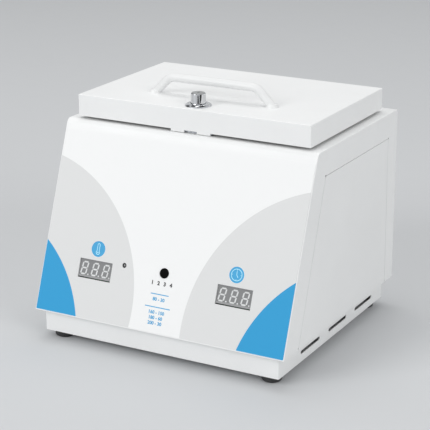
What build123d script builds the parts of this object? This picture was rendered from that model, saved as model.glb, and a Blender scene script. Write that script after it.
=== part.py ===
from build123d import *
from math import atan2, cos, degrees, hypot, radians, sin, tan
import os

os.makedirs("parts", exist_ok=True)

# Bench dry heat sterilizer, in millimetres.
# +X is to the right seen from the front, +Y to the rear, +Z up.
# The origin is on the table, under the middle of the cabinet.

# Casing of folded steel sheet
cabinet_width = 280.0
cabinet_depth = 262.0
top_depth = 194.0
shell_height = 184.0
sheet = 1.0
front_bend = 7.0
rear_bend = 3.0
fold_edge = 0.7
return_flange = 14.0
corner_gusset = 26.0
cutout_play = 0.1

# Side windows of the shell and the panels in them, as distances from the shell's edges
seam_top = 26.0
seam_front_top = 26.5
seam_front_foot = 31.0
seam_rear_top = 23.7
seam_rear_foot = 20.5
seam_gap = 0.5
rim_lap = 8.0
rim_overlap = 2.0
relief_radius = 1.1

# Base tray and feet
base_height = 22.5
base_inset_side = 8.0
base_inset_front = 6.0
base_inset_rear = 8.5
base_corner = 1.5
base_lip = 8.0
vent_length = 43.5
vent_height = 3.8
vent_pitch = 64.3
vent_place = 7.4
vent_rise = 9.7
foot_height = 8.0
foot_radius = 10.0
foot_edge = 2.5
foot_inset = 14.0
foot_recess_radius = 4.6
foot_recess_depth = 4.5
foot_screw_radius = 2.0
foot_screw_head = 3.8
foot_screw_head_height = 2.4
foot_screw_reach = 12.0
thread_play = 0.05
post_width = 8.0

# Lid
lid_side_inset = 10.5
lid_depth = 171.0
lid_height = 22.0
lid_gap = 2.8
lid_setback = 4.8
lid_edge = 0.7
tab_width = 14.8
tab_notch = 14.4
tab_clearance = 0.6
liner_sheet = 0.8
liner_flange = 5.5
liner_clearance = 0.2
plug_depth = 4.0
plug_clearance = 1.5
lid_wool_margin = 4.5

# Handle on the lid
handle_setback = 45.7
handle_foot_spread = 132.0
handle_grip = 98.0
handle_rise = 22.0
handle_bar = 4.5
handle_bend = 15.0
handle_root = 5.0
handle_pad_radius = 6.8
handle_pad_top_radius = 5.2
handle_pad_height = 3.2
handle_screw_radius = 2.0
handle_screw_head = 3.6
handle_screw_head_height = 2.2
handle_screw_reach = 3.3
handle_screw_room = 0.6

# Chamber
chamber_side_room = 35.0
chamber_length = 116.0
chamber_height = 80.0
chamber_setback = 41.8
chamber_corner = 10.0
chamber_floor_edge = 4.0
chamber_sheet = 0.8
chamber_rim = 9.0
gasket_width = 6.0
gasket_clearance = 0.2

# Insulation, jacket, heater, probe and cut-out around the chamber
wool = 14.0
wool_under = 24.0
wool_clearance = 0.3
jacket_sheet = 0.8
jacket_flange = 5.0
heater_tube = 3.25
heater_bend = 14.0
heater_gap = 0.2
heater_side_room = 30.0
heater_margin = 14.0
heater_step = 20.0
clamp_sheet = 1.5
clamp_width = 9.0
clamp_overhang = 10.0
clamp_spread = 36.0
clamp_place = -10.0
probe_radius = 2.5
probe_tip = 12.0
probe_tip_edge = 2.0
probe_nut_width = 9.0
probe_nut_height = 4.0
probe_tail = 4.0
probe_rise = 45.0
cutout_radius = 8.0
cutout_height = 6.0
cutout_neck = 5.0
cutout_neck_height = 3.0
cutout_rise = 34.0

# Instrument tray
tray_room_side = 6.0
tray_room_front = 6.0
tray_height = 24.0
tray_sheet = 0.8
tray_lip = 2.5
tray_corner = 2.5
tray_slot_length = 15.0
tray_slot_width = 5.0
tray_slot_pitch_x = 23.0
tray_slot_pitch_y = 20.0
tray_slot_margin = 8.0

# Controls on the leaning front, as places across the panel and up its slope
display_side_inset = 61.9
display_rise = 50.0
display_cutout_width = 37.9
display_cutout_height = 19.2
display_width = 37.3
display_height = 18.0
display_lift = 0.45
display_depth = 8.0
display_recess = 0.8
digit_pitch = 12.3
digit_height = 13.6
digit_width = 7.2
digit_slant = 9.0
digit_shift = -0.6
segment_width = 1.5
segment_gap = 0.25
segment_depth = 0.5
dot_radius = 0.8
dot_place = 5.8
lamp_spacing = 32.3
lamp_rise = 60.0
lamp_hole = 2.5
lamp_radius = 2.3
lamp_dome = 1.8
lamp_recess = 0.3
lamp_flange = 2.9
lamp_flange_height = 1.0
button_rise = 59.8
button_radius = 4.95
button_hole = 5.1
button_stand = 1.2
button_edge = 0.4
button_flange = 6.4
button_flange_height = 1.2
button_clearance = 0.1
button_stem = 5.0
button_travel = 0.6
push_switch_width = 6.2
push_switch_height = 2.4
plunger_radius = 1.7
film = 0.4
film_border = 1.0
film_corner = 0.8
film_top_margin = 9.0

# Boards
board = 1.6
control_board_overhang = 11.25
control_board_height = 38.0
standoff_radius = 3.0
standoff_margin = 4.0
power_board_width = 130.0
power_board_depth = 84.0
power_board_rise = 8.0
power_board_place = 6.0
transformer_depth = 35.0
transformer_height = 31.0
transformer_place = -38.0
core_width = 42.0
core_depth = 27.0
core_lift = 5.0
coil_width = 30.0
coil_drop = 1.0
relay_width = 28.0
relay_depth = 12.5
relay_height = 15.5
relay_edge = 1.0
relay_place = 12.0
terminal_width = 40.0
terminal_depth = 9.0
terminal_height = 13.0
terminal_place = 45.0
terminal_pitch = 5.0
terminal_ways = 7
terminal_screw = 1.7
terminal_screw_depth = 3.0

# Push lock on the lid
lock_setback = 16.3
rosette_radius = 13.3
rosette_rim = 0.7
rosette_height = 3.0
rosette_lip = 0.9
rosette_neck = 9.0
rosette_bore = 7.8
knob_top_radius = 7.3
knob_radius = 7.7
knob_stand = 12.8
knob_edge = 0.5
knob_hollow = 5.5
knob_hollow_height = 12.0
knob_skirt = 6.3
knob_travel = 9.0
bolt_travel = 4.5
case_width = 30.4
case_front = 9.8
case_rear = 10.0
case_wall = 1.5
case_floor = 1.9
tongue_width = 13.6
tongue_height = 3.5
tongue_stand = 0.2
cheek = 2.4
cheek_span = 24.0
cheek_front = 3.4
cheek_rear = 7.9
cheek_clearance = 0.7
cross_pin = 1.5
cross_pin_span = 25.6
cross_pin_rise = 2.0
slot_play = 0.1
slide_play = 0.1
tongue_play = 0.5

# Keeper on the cabinet's top
keeper_sheet = 1.5
keeper_stand_off = 1.2
keeper_width = 44.0
keeper_tower = 22.0
keeper_tower_height = 12.5
keeper_window_width = 14.6
keeper_depth = 13.0
keeper_screw_spread = 33.0

# Hinges
hinge_side_inset = 51.5
hinge_width = 40.0
hinge_leaf = 1.5
hinge_reach = 11.5
hinge_barrel = 3.0
hinge_clearance = 0.3
hinge_pin = 1.2
hinge_pin_edge = 0.3
hinge_play = 0.05
hinge_notch = 0.6
knuckle_width = 13.0
knuckle_gap = 0.4
hinge_screw_place = 8.2
hinge_screw_spread = 24.0

# Small countersunk screws
screw_shank = 1.4
screw_head = 2.7
screw_hole = 1.6
screw_seat_play = 0.1
screw_reach = 2.0

# Rear fittings, as places across the rear and above the shell's lower edge
inlet_side_inset = 52.0
inlet_rise = 34.0
inlet_width = 31.0
inlet_height = 37.0
inlet_corner = 3.0
inlet_flange = 3.0
inlet_body_width = 27.6
inlet_body_height = 33.0
inlet_body_depth = 24.0
socket_width = 24.4
socket_height = 16.4
socket_depth = 17.0
socket_chamfer = 3.8
socket_lift = 6.0
blade_width = 2.0
blade_height = 4.0
blade_spread = 14.0
blade_drop = 2.0
blade_reach = 11.5
blade_tail = 7.0
drawer_width = 23.0
drawer_height = 8.0
drawer_drop = 10.4
drawer_depth = 20.0
drawer_pull_width = 9.0
drawer_pull_height = 2.5
drawer_pull_depth = 1.5
switch_spacing = 40.0
switch_rise = 34.0
switch_bezel_width = 17.0
switch_bezel_height = 22.0
switch_bezel = 1.6
switch_corner = 1.2
switch_body_width = 14.4
switch_body_height = 19.6
switch_body_depth = 13.0
rocker_width = 11.0
rocker_length = 16.4
rocker_room_width = 11.6
rocker_room_length = 18.2
rocker_room_clearance = 0.4
rocker_pivot_depth = 2.0
rocker_hub = 4.6
rocker_valley = 2.4
rocker_end = 3.7
rocker_side = 1.0
rocker_tilt = 9.0
trunnion = 1.5
trunnion_reach = 1.1
trunnion_play = 0.05
contact_width = 4.8
contact_sheet = 0.8
contact_reach = 8.0
contact_pitch = 7.0

# Levels and places worked out from the driving sizes
base_bottom = foot_height
tray_floor = base_bottom + sheet
shell_bottom = base_bottom + base_height
shell_top = shell_bottom + shell_height
shell_ceiling = shell_top - sheet
lid_bottom = shell_top + lid_gap
lid_top = lid_bottom + lid_height
lid_ceiling = lid_top - sheet
front_foot = -(cabinet_depth + inlet_flange) / 2
rear = front_foot + cabinet_depth
front_top = rear - top_depth
lean = atan2(cabinet_depth - top_depth, shell_height)
panel_length = shell_height / cos(lean)
half_width = cabinet_width / 2

lid_front = front_top + lid_setback
lid_rear = lid_front + lid_depth
lid_y = (lid_front + lid_rear) / 2
base_front = front_foot + base_inset_front
base_rear = rear - base_inset_rear
base_y = (base_front + base_rear) / 2
base_width = cabinet_width - 2 * base_inset_side
base_depth = base_rear - base_front
lid_width = cabinet_width - 2 * lid_side_inset
chamber_width = cabinet_width - 2 * chamber_side_room
heater_spread = chamber_width - 2 * heater_side_room
tray_width = chamber_width - 2 * tray_room_side
tray_length = chamber_length - 2 * tray_room_front
display_place = half_width - display_side_inset
lamp_place = lamp_spacing - display_place
control_board_width = 2 * (display_place + display_width / 2 + control_board_overhang)
inlet_place = inlet_side_inset - half_width
switch_place = inlet_place + switch_spacing
foot_x = base_width / 2 - foot_inset
foot_places = {
    "front_left": (-foot_x, base_front + foot_inset),
    "front_right": (foot_x, base_front + foot_inset),
    "rear_left": (-foot_x, base_rear - foot_inset),
    "rear_right": (foot_x, base_rear - foot_inset),
}

hinge_y = lid_rear + hinge_barrel + hinge_clearance
hinge_z = shell_top + hinge_barrel + hinge_clearance
hinge_place = lid_width / 2 - hinge_side_inset
hinge_screw_xs = [
    side * hinge_place + step * hinge_screw_spread / 2 for side in (-1, 1) for step in (-1, 1)
]
fixed_hinge_screws = [(x, hinge_y + hinge_screw_place) for x in hinge_screw_xs]
lid_hinge_screws = [(x, hinge_z + hinge_screw_place) for x in hinge_screw_xs]

lock_y = lid_front + lock_setback
case_front_y = lock_y - case_front
case_rear_y = lock_y + case_rear
case_bottom = lid_bottom + slide_play
case_floor_top = case_bottom + case_floor
bolt_bottom = case_floor_top + slide_play
bolt_top = bolt_bottom + tongue_height
pin_z = lid_top - knob_skirt + cross_pin_rise
keeper_rear_y = case_front_y - keeper_stand_off
keeper_front_y = keeper_rear_y - keeper_sheet
keeper_screw_y = keeper_front_y + keeper_depth / 2
keeper_screws_at = [
    (-keeper_screw_spread / 2, keeper_screw_y),
    (keeper_screw_spread / 2, keeper_screw_y),
]

handle_y = lid_front + handle_setback
handle_feet = [(-handle_foot_spread / 2, handle_y), (handle_foot_spread / 2, handle_y)]

chamber_y = lid_front + chamber_setback + chamber_length / 2
chamber_floor = shell_top - chamber_height
rim_top = shell_top + chamber_sheet
tank_width = chamber_width + 2 * chamber_sheet
tank_length = chamber_length + 2 * chamber_sheet
tank_corner = chamber_corner + chamber_sheet
tank_bottom = chamber_floor - chamber_sheet
tank_left = -tank_width / 2
tank_rear = chamber_y + tank_length / 2
tank_room_width = tank_width + 2 * wool_clearance
tank_room_length = tank_length + 2 * wool_clearance
tank_room_corner = tank_corner + wool_clearance
heater_z = tank_bottom - heater_gap - heater_tube
clamp_top = heater_z - heater_tube - heater_gap
wool_floor = clamp_top - clamp_sheet
wool_bottom = wool_floor - wool_under
wool_width = tank_width + 2 * wool
wool_length = tank_length + 2 * wool
wool_corner = tank_corner + wool
probe_z = chamber_floor + probe_rise
cutout_z = chamber_floor + cutout_rise

board_front = display_recess + display_depth
control_standoffs = [
    (x * (control_board_width / 2 - standoff_margin), y * (control_board_height / 2 - standoff_margin))
    for x in (-1, 1)
    for y in (-1, 1)
]
power_board_bottom = tray_floor + power_board_rise
power_board_top = power_board_bottom + board
power_standoffs = [
    (x * (power_board_width / 2 - standoff_margin), y * (power_board_depth / 2 - standoff_margin))
    for x in (-1, 1)
    for y in (-1, 1)
]

pivot_y = rear - rocker_pivot_depth
pivot_z = shell_bottom + switch_rise

front_plane = Plane(
    origin=(0, front_foot, shell_bottom), x_dir=(1, 0, 0), z_dir=(0, -cos(lean), sin(lean))
)
front_axis = Axis(front_plane.origin, front_plane.z_dir)
rear_plane = Plane(origin=(0, rear, shell_bottom), x_dir=(-1, 0, 0), z_dir=(0, 1, 0))


def front_edge(height):
    # How far back the leaning front stands at a height above the table
    return front_foot + (height - shell_bottom) * tan(lean)


def front_spot(place, rise, depth=0):
    # A plane along the leaning front, centred on a place of the panel, some depth behind its face
    return Plane(
        origin=front_plane.from_local_coords((place, rise, -depth)),
        x_dir=front_plane.x_dir,
        z_dir=front_plane.z_dir,
    )


def rear_spot(place, rise, depth=0):
    # A plane along the rear wall, centred on a place of it, some depth inside its face
    return Plane(
        origin=rear_plane.from_local_coords((-place, rise, -depth)),
        x_dir=rear_plane.x_dir,
        z_dir=rear_plane.z_dir,
    )


def facing_front(y, z=0):
    # An upright plane that faces the front, where its own y runs up
    return Plane(origin=(0, y, z), x_dir=(1, 0, 0), z_dir=(0, -1, 0))


# Side outline of the shell, the windows in its sides and the openings in its front
with BuildSketch() as side_outline:
    with BuildLine():
        Polyline(
            (front_foot, shell_bottom),
            (front_top, shell_top),
            (rear, shell_top),
            (rear, shell_bottom),
            close=True,
        )
    make_face()
    fillet(side_outline.vertices().sort_by_distance((front_top, shell_top))[0], front_bend)
    fillet(side_outline.vertices().sort_by_distance((rear, shell_top))[0], rear_bend)

window_corners = (
    (front_edge(shell_top - seam_top) + seam_front_top, shell_top - seam_top),
    (rear - seam_rear_top, shell_top - seam_top),
    (rear - seam_rear_foot, shell_bottom - seam_gap),
    (front_foot + seam_front_foot, shell_bottom - seam_gap),
)

with BuildSketch() as window_outline:
    Polygon(*window_corners, align=None)

with BuildSketch() as relief_holes:
    with Locations(*window_corners[:2]):
        Circle(relief_radius)
    with Locations(*[(y, shell_bottom + relief_radius) for y, z in window_corners[2:]]):
        Circle(relief_radius)

with BuildSketch() as panel_outline:
    add(window_outline.sketch)
    offset(amount=-seam_gap, kind=Kind.INTERSECTION)
    add(relief_holes.sketch, mode=Mode.SUBTRACT)

with BuildSketch() as rim_opening:
    add(window_outline.sketch)
    offset(amount=-seam_gap - rim_overlap, kind=Kind.INTERSECTION)

with BuildSketch() as rim_outline:
    add(window_outline.sketch)
    offset(amount=rim_lap, kind=Kind.INTERSECTION)
    add(rim_opening.sketch, mode=Mode.SUBTRACT)
    with Locations((0, shell_bottom + sheet)):
        Rectangle(2 * cabinet_depth, shell_height, align=(Align.CENTER, Align.MAX), mode=Mode.SUBTRACT)

with BuildSketch() as front_cutouts:
    with Locations((-display_place, display_rise), (display_place, display_rise)):
        Rectangle(display_cutout_width, display_cutout_height)
    with Locations((lamp_place, lamp_rise)):
        Circle(lamp_hole)
    with Locations((0, button_rise)):
        Circle(button_hole)

# Outer shell: front, top and rear folded from one sheet, with side strips and a flange turned in below
with BuildPart() as outer_shell:
    with BuildSketch(Plane.YZ):
        add(side_outline.sketch)
    extrude(amount=half_width, both=True)
    side_folds = (
        outer_shell.edges()
        .filter_by(lambda edge: abs(edge.center().X) > half_width - fold_edge)
        .filter_by(lambda edge: edge.center().Z > shell_bottom + fold_edge)
    )
    fillet(side_folds, fold_edge)
    with BuildSketch(Plane.YZ):
        add(side_outline.sketch)
        offset(amount=-sheet)
    extrude(amount=half_width - sheet, both=True, mode=Mode.SUBTRACT)
    with BuildSketch(Plane.XY.offset(shell_bottom)) as base_opening:
        with Locations((0, front_foot + cabinet_depth / 2)):
            Rectangle(cabinet_width - 2 * return_flange, cabinet_depth - 2 * return_flange)
        chamfer(base_opening.vertices(), corner_gusset)
    extrude(amount=sheet, mode=Mode.SUBTRACT)
    for side in (-1, 1):
        with BuildSketch(Plane.YZ.offset(side * (half_width - sheet))):
            add(window_outline.sketch)
            add(relief_holes.sketch)
        extrude(amount=side * sheet, mode=Mode.SUBTRACT)
    with BuildSketch(Plane.XY.offset(shell_ceiling)):
        with Locations((0, chamber_y)):
            RectangleRounded(tank_room_width, tank_room_length, tank_room_corner)
        with Locations(*keeper_screws_at, *fixed_hinge_screws):
            Circle(screw_hole)
    extrude(amount=sheet, mode=Mode.SUBTRACT)
    with BuildSketch(front_spot(0, 0, sheet)):
        add(front_cutouts.sketch)
    extrude(amount=sheet, mode=Mode.SUBTRACT)
    with BuildSketch(rear_spot(0, 0, sheet)):
        with Locations((-inlet_place, inlet_rise)):
            Rectangle(inlet_body_width + 2 * cutout_play, inlet_body_height + 2 * cutout_play)
        with Locations((-switch_place, switch_rise)):
            Rectangle(switch_body_width + 2 * cutout_play, switch_body_height + 2 * cutout_play)
    extrude(amount=sheet, mode=Mode.SUBTRACT)
outer_shell.part.label = "outer_shell"
export_step(outer_shell.part, "parts/outer_shell.step")

# Side panels: a flush plate in each window, on a rim set in behind the shell's strips
for name, side in (("side_panel_left", -1), ("side_panel_right", 1)):
    with BuildPart() as side_panel:
        with BuildSketch(Plane.YZ.offset(side * (half_width - sheet))):
            add(panel_outline.sketch)
        extrude(amount=side * sheet)
        with BuildSketch(Plane.YZ.offset(side * (half_width - sheet))):
            add(rim_outline.sketch)
        extrude(amount=-side * sheet)
    side_panel.part.label = name
    export_step(side_panel.part, f"parts/{name}.step")

# Front overlay: the printed film on the leaning front
film_width = cabinet_width - 2 * film_border
film_length = panel_length - film_top_margin - film_border
with BuildPart() as front_overlay:
    with BuildSketch(front_plane):
        with Locations((0, film_border + film_length / 2)):
            RectangleRounded(film_width, film_length, film_corner)
        add(front_cutouts.sketch, mode=Mode.SUBTRACT)
    extrude(amount=film)
front_overlay.part.label = "front_overlay"
export_step(front_overlay.part, "parts/front_overlay.step")

# Base tray: a pan inset under the shell, with a lip turned in at the top and slots in its sides
with BuildPart() as base_tray:
    with BuildSketch(Plane.XY.offset(base_bottom)):
        with Locations((0, base_y)):
            RectangleRounded(base_width, base_depth, base_corner)
    extrude(amount=base_height)
    offset(amount=-sheet, openings=base_tray.faces().sort_by(Axis.Z)[-1])
    with BuildSketch(Plane.XY.offset(shell_bottom - sheet)):
        with Locations((0, base_y)):
            Rectangle(base_width - sheet, base_depth - sheet)
            Rectangle(base_width - 2 * base_lip, base_depth - 2 * base_lip, mode=Mode.SUBTRACT)
    extrude(amount=sheet)
    with BuildSketch(Plane.YZ):
        with Locations((vent_place, base_bottom + vent_rise)):
            with GridLocations(vent_pitch, 0, 3, 1):
                SlotOverall(vent_length, vent_height)
    extrude(amount=base_width, both=True, mode=Mode.SUBTRACT)
    with BuildSketch(Plane.XY.offset(base_bottom)):
        with Locations(*foot_places.values()):
            Circle(foot_screw_radius + slide_play)
    extrude(amount=sheet, mode=Mode.SUBTRACT)
base_tray.part.label = "base_tray"
export_step(base_tray.part, "parts/base_tray.step")

# Rubber feet, each turned with a recess for its screw's head
for name, (x, y) in foot_places.items():
    with BuildPart() as rubber_foot:
        with BuildSketch(Plane(origin=(x, y, 0), x_dir=(1, 0, 0), z_dir=(0, -1, 0))) as foot_profile:
            with BuildLine():
                Polyline(
                    (foot_screw_radius + slide_play, foot_recess_depth),
                    (foot_screw_radius + slide_play, foot_height),
                    (foot_radius, foot_height),
                    (foot_radius, 0),
                    (foot_recess_radius, 0),
                    (foot_recess_radius, foot_recess_depth),
                    close=True,
                )
            make_face()
            fillet(foot_profile.vertices().sort_by_distance((foot_radius, 0))[0], foot_edge)
        revolve(axis=Axis((x, y, 0), (0, 0, 1)))
    rubber_foot.part.label = f"rubber_foot_{name}"
    export_step(rubber_foot.part, f"parts/rubber_foot_{name}.step")

# Foot screws, and the posts through which they hold the base to the shell
with BuildPart() as foot_screws:
    with BuildSketch(Plane.XY.offset(foot_recess_depth)):
        with Locations(*foot_places.values()):
            Circle(foot_screw_head)
    extrude(amount=-foot_screw_head_height)
    with BuildSketch(Plane.XY.offset(foot_recess_depth)):
        with Locations(*foot_places.values()):
            Circle(foot_screw_radius)
    extrude(amount=tray_floor + foot_screw_reach - foot_recess_depth)
foot_screws.part.label = "foot_screws"
export_step(foot_screws.part, "parts/foot_screws.step")

with BuildPart() as base_posts:
    with BuildSketch(Plane.XY.offset(tray_floor)):
        with Locations(*foot_places.values()):
            RegularPolygon(post_width / 2, 6, major_radius=False)
            Circle(foot_screw_radius + thread_play, mode=Mode.SUBTRACT)
    extrude(amount=shell_bottom - tray_floor)
base_posts.part.label = "base_posts"
export_step(base_posts.part, "parts/base_posts.step")

# Chamber tank: a deep drawn steel pan that hangs by its rim on the shell's top
with BuildPart() as chamber_tank:
    with BuildSketch(Plane.XY.offset(tank_bottom)):
        with Locations((0, chamber_y)):
            RectangleRounded(tank_width, tank_length, tank_corner)
    extrude(amount=rim_top - tank_bottom)
    fillet(chamber_tank.edges().group_by(Axis.Z)[0], chamber_floor_edge + chamber_sheet)
    offset(amount=-chamber_sheet, openings=chamber_tank.faces().sort_by(Axis.Z)[-1])
    with BuildSketch(Plane.XY.offset(shell_top)):
        with Locations((0, chamber_y)):
            RectangleRounded(
                chamber_width + 2 * chamber_rim,
                chamber_length + 2 * chamber_rim,
                chamber_corner + chamber_rim,
            )
            RectangleRounded(
                chamber_width + chamber_sheet,
                chamber_length + chamber_sheet,
                chamber_corner + chamber_sheet / 2,
                mode=Mode.SUBTRACT,
            )
    extrude(amount=chamber_sheet)
    with BuildSketch(facing_front(tank_rear, probe_z)):
        Circle(probe_radius + slide_play)
    extrude(amount=chamber_sheet, mode=Mode.SUBTRACT)
chamber_tank.part.label = "chamber_tank"
export_step(chamber_tank.part, "parts/chamber_tank.step")

# Chamber gasket, in the middle of the rim
gasket_outside = chamber_rim + gasket_width
gasket_inside = chamber_rim - gasket_width
with BuildPart() as chamber_gasket:
    with BuildSketch(Plane.XY.offset(rim_top)):
        with Locations((0, chamber_y)):
            RectangleRounded(
                chamber_width + gasket_outside,
                chamber_length + gasket_outside,
                chamber_corner + gasket_outside / 2,
            )
            RectangleRounded(
                chamber_width + gasket_inside,
                chamber_length + gasket_inside,
                chamber_corner + gasket_inside / 2,
                mode=Mode.SUBTRACT,
            )
    extrude(amount=lid_bottom - gasket_clearance - rim_top)
chamber_gasket.part.label = "chamber_gasket"
export_step(chamber_gasket.part, "parts/chamber_gasket.step")

# Insulation jacket: a thin pan around the wool, held by its flange under the shell's top
with BuildPart() as insulation_jacket:
    with BuildSketch(Plane.XY.offset(wool_bottom - jacket_sheet)):
        with Locations((0, chamber_y)):
            RectangleRounded(
                wool_width + 2 * jacket_sheet, wool_length + 2 * jacket_sheet, wool_corner + jacket_sheet
            )
    extrude(amount=shell_ceiling - wool_bottom + jacket_sheet)
    offset(amount=-jacket_sheet, openings=insulation_jacket.faces().sort_by(Axis.Z)[-1])
    with BuildSketch(Plane.XY.offset(shell_ceiling)):
        with Locations((0, chamber_y)):
            RectangleRounded(
                wool_width + 2 * jacket_flange, wool_length + 2 * jacket_flange, wool_corner + jacket_flange
            )
            RectangleRounded(
                wool_width + jacket_sheet,
                wool_length + jacket_sheet,
                wool_corner + jacket_sheet / 2,
                mode=Mode.SUBTRACT,
            )
    extrude(amount=-jacket_sheet)
insulation_jacket.part.label = "insulation_jacket"
export_step(insulation_jacket.part, "parts/insulation_jacket.step")

# Chamber insulation, with room for the tank, the heater, the probe's nut and the cut-out
probe_room = probe_nut_width / 2 / cos(radians(30)) + wool_clearance
cutout_plane = Plane(origin=(tank_left, chamber_y, cutout_z), x_dir=(0, 1, 0), z_dir=(-1, 0, 0))
with BuildPart() as chamber_insulation:
    with BuildSketch(Plane.XY.offset(wool_bottom)):
        with Locations((0, chamber_y)):
            RectangleRounded(wool_width, wool_length, wool_corner)
    extrude(amount=shell_ceiling - wool_bottom)
    with BuildSketch(Plane.XY.offset(wool_floor)):
        with Locations((0, chamber_y)):
            RectangleRounded(tank_room_width, tank_room_length, tank_room_corner)
    extrude(amount=shell_ceiling - wool_floor, mode=Mode.SUBTRACT)
    with BuildSketch(facing_front(tank_rear, probe_z)):
        Circle(probe_room)
    extrude(amount=-probe_nut_height - probe_tail - wool_clearance, mode=Mode.SUBTRACT)
    with BuildSketch(cutout_plane):
        Circle(cutout_radius + wool_clearance)
    extrude(amount=cutout_height + cutout_neck_height + wool_clearance, mode=Mode.SUBTRACT)
chamber_insulation.part.label = "chamber_insulation"
export_step(chamber_insulation.part, "parts/chamber_insulation.step")

# Tubular heater: one tube bent into a flat meander under the tank's floor
heater_reach = chamber_length / 2 - heater_margin
with BuildPart() as tubular_heater:
    with BuildLine(Plane(origin=(0, chamber_y, heater_z))) as heater_path:
        FilletPolyline(
            (-heater_spread / 2, heater_reach),
            (-heater_spread / 2, -heater_reach),
            (-heater_spread / 6, -heater_reach),
            (-heater_spread / 6, heater_reach - heater_step),
            (heater_spread / 6, heater_reach - heater_step),
            (heater_spread / 6, -heater_reach),
            (heater_spread / 2, -heater_reach),
            (heater_spread / 2, heater_reach),
            radius=heater_bend,
        )
    with BuildSketch(Plane(origin=heater_path.line @ 0, z_dir=heater_path.line % 0)):
        Circle(heater_tube)
    sweep()
tubular_heater.part.label = "tubular_heater"
export_step(tubular_heater.part, "parts/tubular_heater.step")

# Heater clamps: two bars under the tube, with ends turned up to the tank's floor
clamp_length = heater_spread + 2 * clamp_overhang
with BuildPart() as heater_clamps:
    for step in (-1, 1):
        clamp_y = chamber_y + clamp_place + step * clamp_spread / 2
        with BuildSketch(facing_front(clamp_y)):
            with Locations((0, wool_floor)):
                Rectangle(clamp_length, tank_bottom - wool_floor, align=(Align.CENTER, Align.MIN))
            with Locations((0, clamp_top)):
                Rectangle(
                    clamp_length - 2 * clamp_sheet,
                    tank_bottom - clamp_top,
                    align=(Align.CENTER, Align.MIN),
                    mode=Mode.SUBTRACT,
                )
        extrude(amount=clamp_width / 2, both=True)
heater_clamps.part.label = "heater_clamps"
export_step(heater_clamps.part, "parts/heater_clamps.step")

# Thermal cut-out: a round snap disc on the tank's left wall
with BuildPart() as thermal_cutout:
    with BuildSketch(cutout_plane):
        Circle(cutout_radius)
    extrude(amount=cutout_height)
    with BuildSketch(cutout_plane.offset(cutout_height)):
        Circle(cutout_neck)
    extrude(amount=cutout_neck_height)
thermal_cutout.part.label = "thermal_cutout"
export_step(thermal_cutout.part, "parts/thermal_cutout.step")

# Temperature probe: a thin tube through the tank's rear wall, with a hexagon nut outside
with BuildPart() as temperature_probe:
    with BuildSketch(facing_front(tank_rear + probe_nut_height + probe_tail, probe_z)):
        Circle(probe_radius)
    extrude(amount=probe_nut_height + probe_tail + chamber_sheet + probe_tip)
    fillet(temperature_probe.edges().filter_by(GeomType.CIRCLE).sort_by(Axis.Y)[0], probe_tip_edge)
    with BuildSketch(facing_front(tank_rear, probe_z)):
        RegularPolygon(probe_nut_width / 2, 6, major_radius=False)
    extrude(amount=-probe_nut_height)
temperature_probe.part.label = "temperature_probe"
export_step(temperature_probe.part, "parts/temperature_probe.step")

# Instrument tray: a shallow pan with a lip and a slotted floor, standing on the chamber's floor
tray_body_width = tray_width - 2 * tray_lip
tray_body_length = tray_length - 2 * tray_lip
tray_slot_room_x = tray_body_width - 2 * tray_slot_margin - tray_slot_length
tray_slot_room_y = tray_body_length - 2 * tray_slot_margin - tray_slot_width
tray_slot_columns = int(tray_slot_room_x / tray_slot_pitch_x) + 1
tray_slot_rows = int(tray_slot_room_y / tray_slot_pitch_y) + 1
with BuildPart() as instrument_tray:
    with BuildSketch(Plane.XY.offset(chamber_floor)):
        with Locations((0, chamber_y)):
            RectangleRounded(tray_body_width, tray_body_length, tray_corner)
    extrude(amount=tray_height)
    offset(amount=-tray_sheet, openings=instrument_tray.faces().sort_by(Axis.Z)[-1])
    with BuildSketch(Plane.XY.offset(chamber_floor + tray_height - tray_sheet)):
        with Locations((0, chamber_y)):
            RectangleRounded(tray_width, tray_length, tray_corner + tray_lip)
            RectangleRounded(
                tray_body_width - tray_sheet,
                tray_body_length - tray_sheet,
                tray_corner - tray_sheet / 2,
                mode=Mode.SUBTRACT,
            )
    extrude(amount=tray_sheet)
    with BuildSketch(Plane.XY.offset(chamber_floor)):
        with Locations((0, chamber_y)):
            with GridLocations(tray_slot_pitch_x, tray_slot_pitch_y, tray_slot_columns, tray_slot_rows):
                SlotOverall(tray_slot_length, tray_slot_width)
    extrude(amount=tray_sheet, mode=Mode.SUBTRACT)
instrument_tray.part.label = "instrument_tray"
export_step(instrument_tray.part, "parts/instrument_tray.step")


def segment_corners(x, y, length, upright):
    # The corners of one display segment with pointed ends, slanted as its digit is
    half = length / 2 - segment_gap
    point = segment_width / 2
    corners = [
        (-half, 0),
        (-half + point, point),
        (half - point, point),
        (half, 0),
        (half - point, -point),
        (-half + point, -point),
    ]
    if upright:
        corners = [(-b, a) for a, b in corners]
    slant = tan(radians(digit_slant))
    return [(x + a + (y + b) * slant, y + b) for a, b in corners]


# The windows of a three digit display: seven segments and a dot each
bar_x = (digit_width - segment_width) / 2
bar_y = (digit_height - segment_width) / 2
with BuildSketch() as digit_windows:
    for step in (-1, 0, 1):
        digit_x = digit_shift + step * digit_pitch
        for level in (-1, 0, 1):
            Polygon(*segment_corners(digit_x, level * bar_y, 2 * bar_x, False), align=None)
        for side in (-1, 1):
            for level in (-1, 1):
                corners = segment_corners(digit_x + side * bar_x, level * bar_y / 2, bar_y, True)
                Polygon(*corners, align=None)
        with Locations((digit_x + dot_place - bar_y * tan(radians(digit_slant)), -bar_y)):
            Circle(dot_radius)

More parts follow.
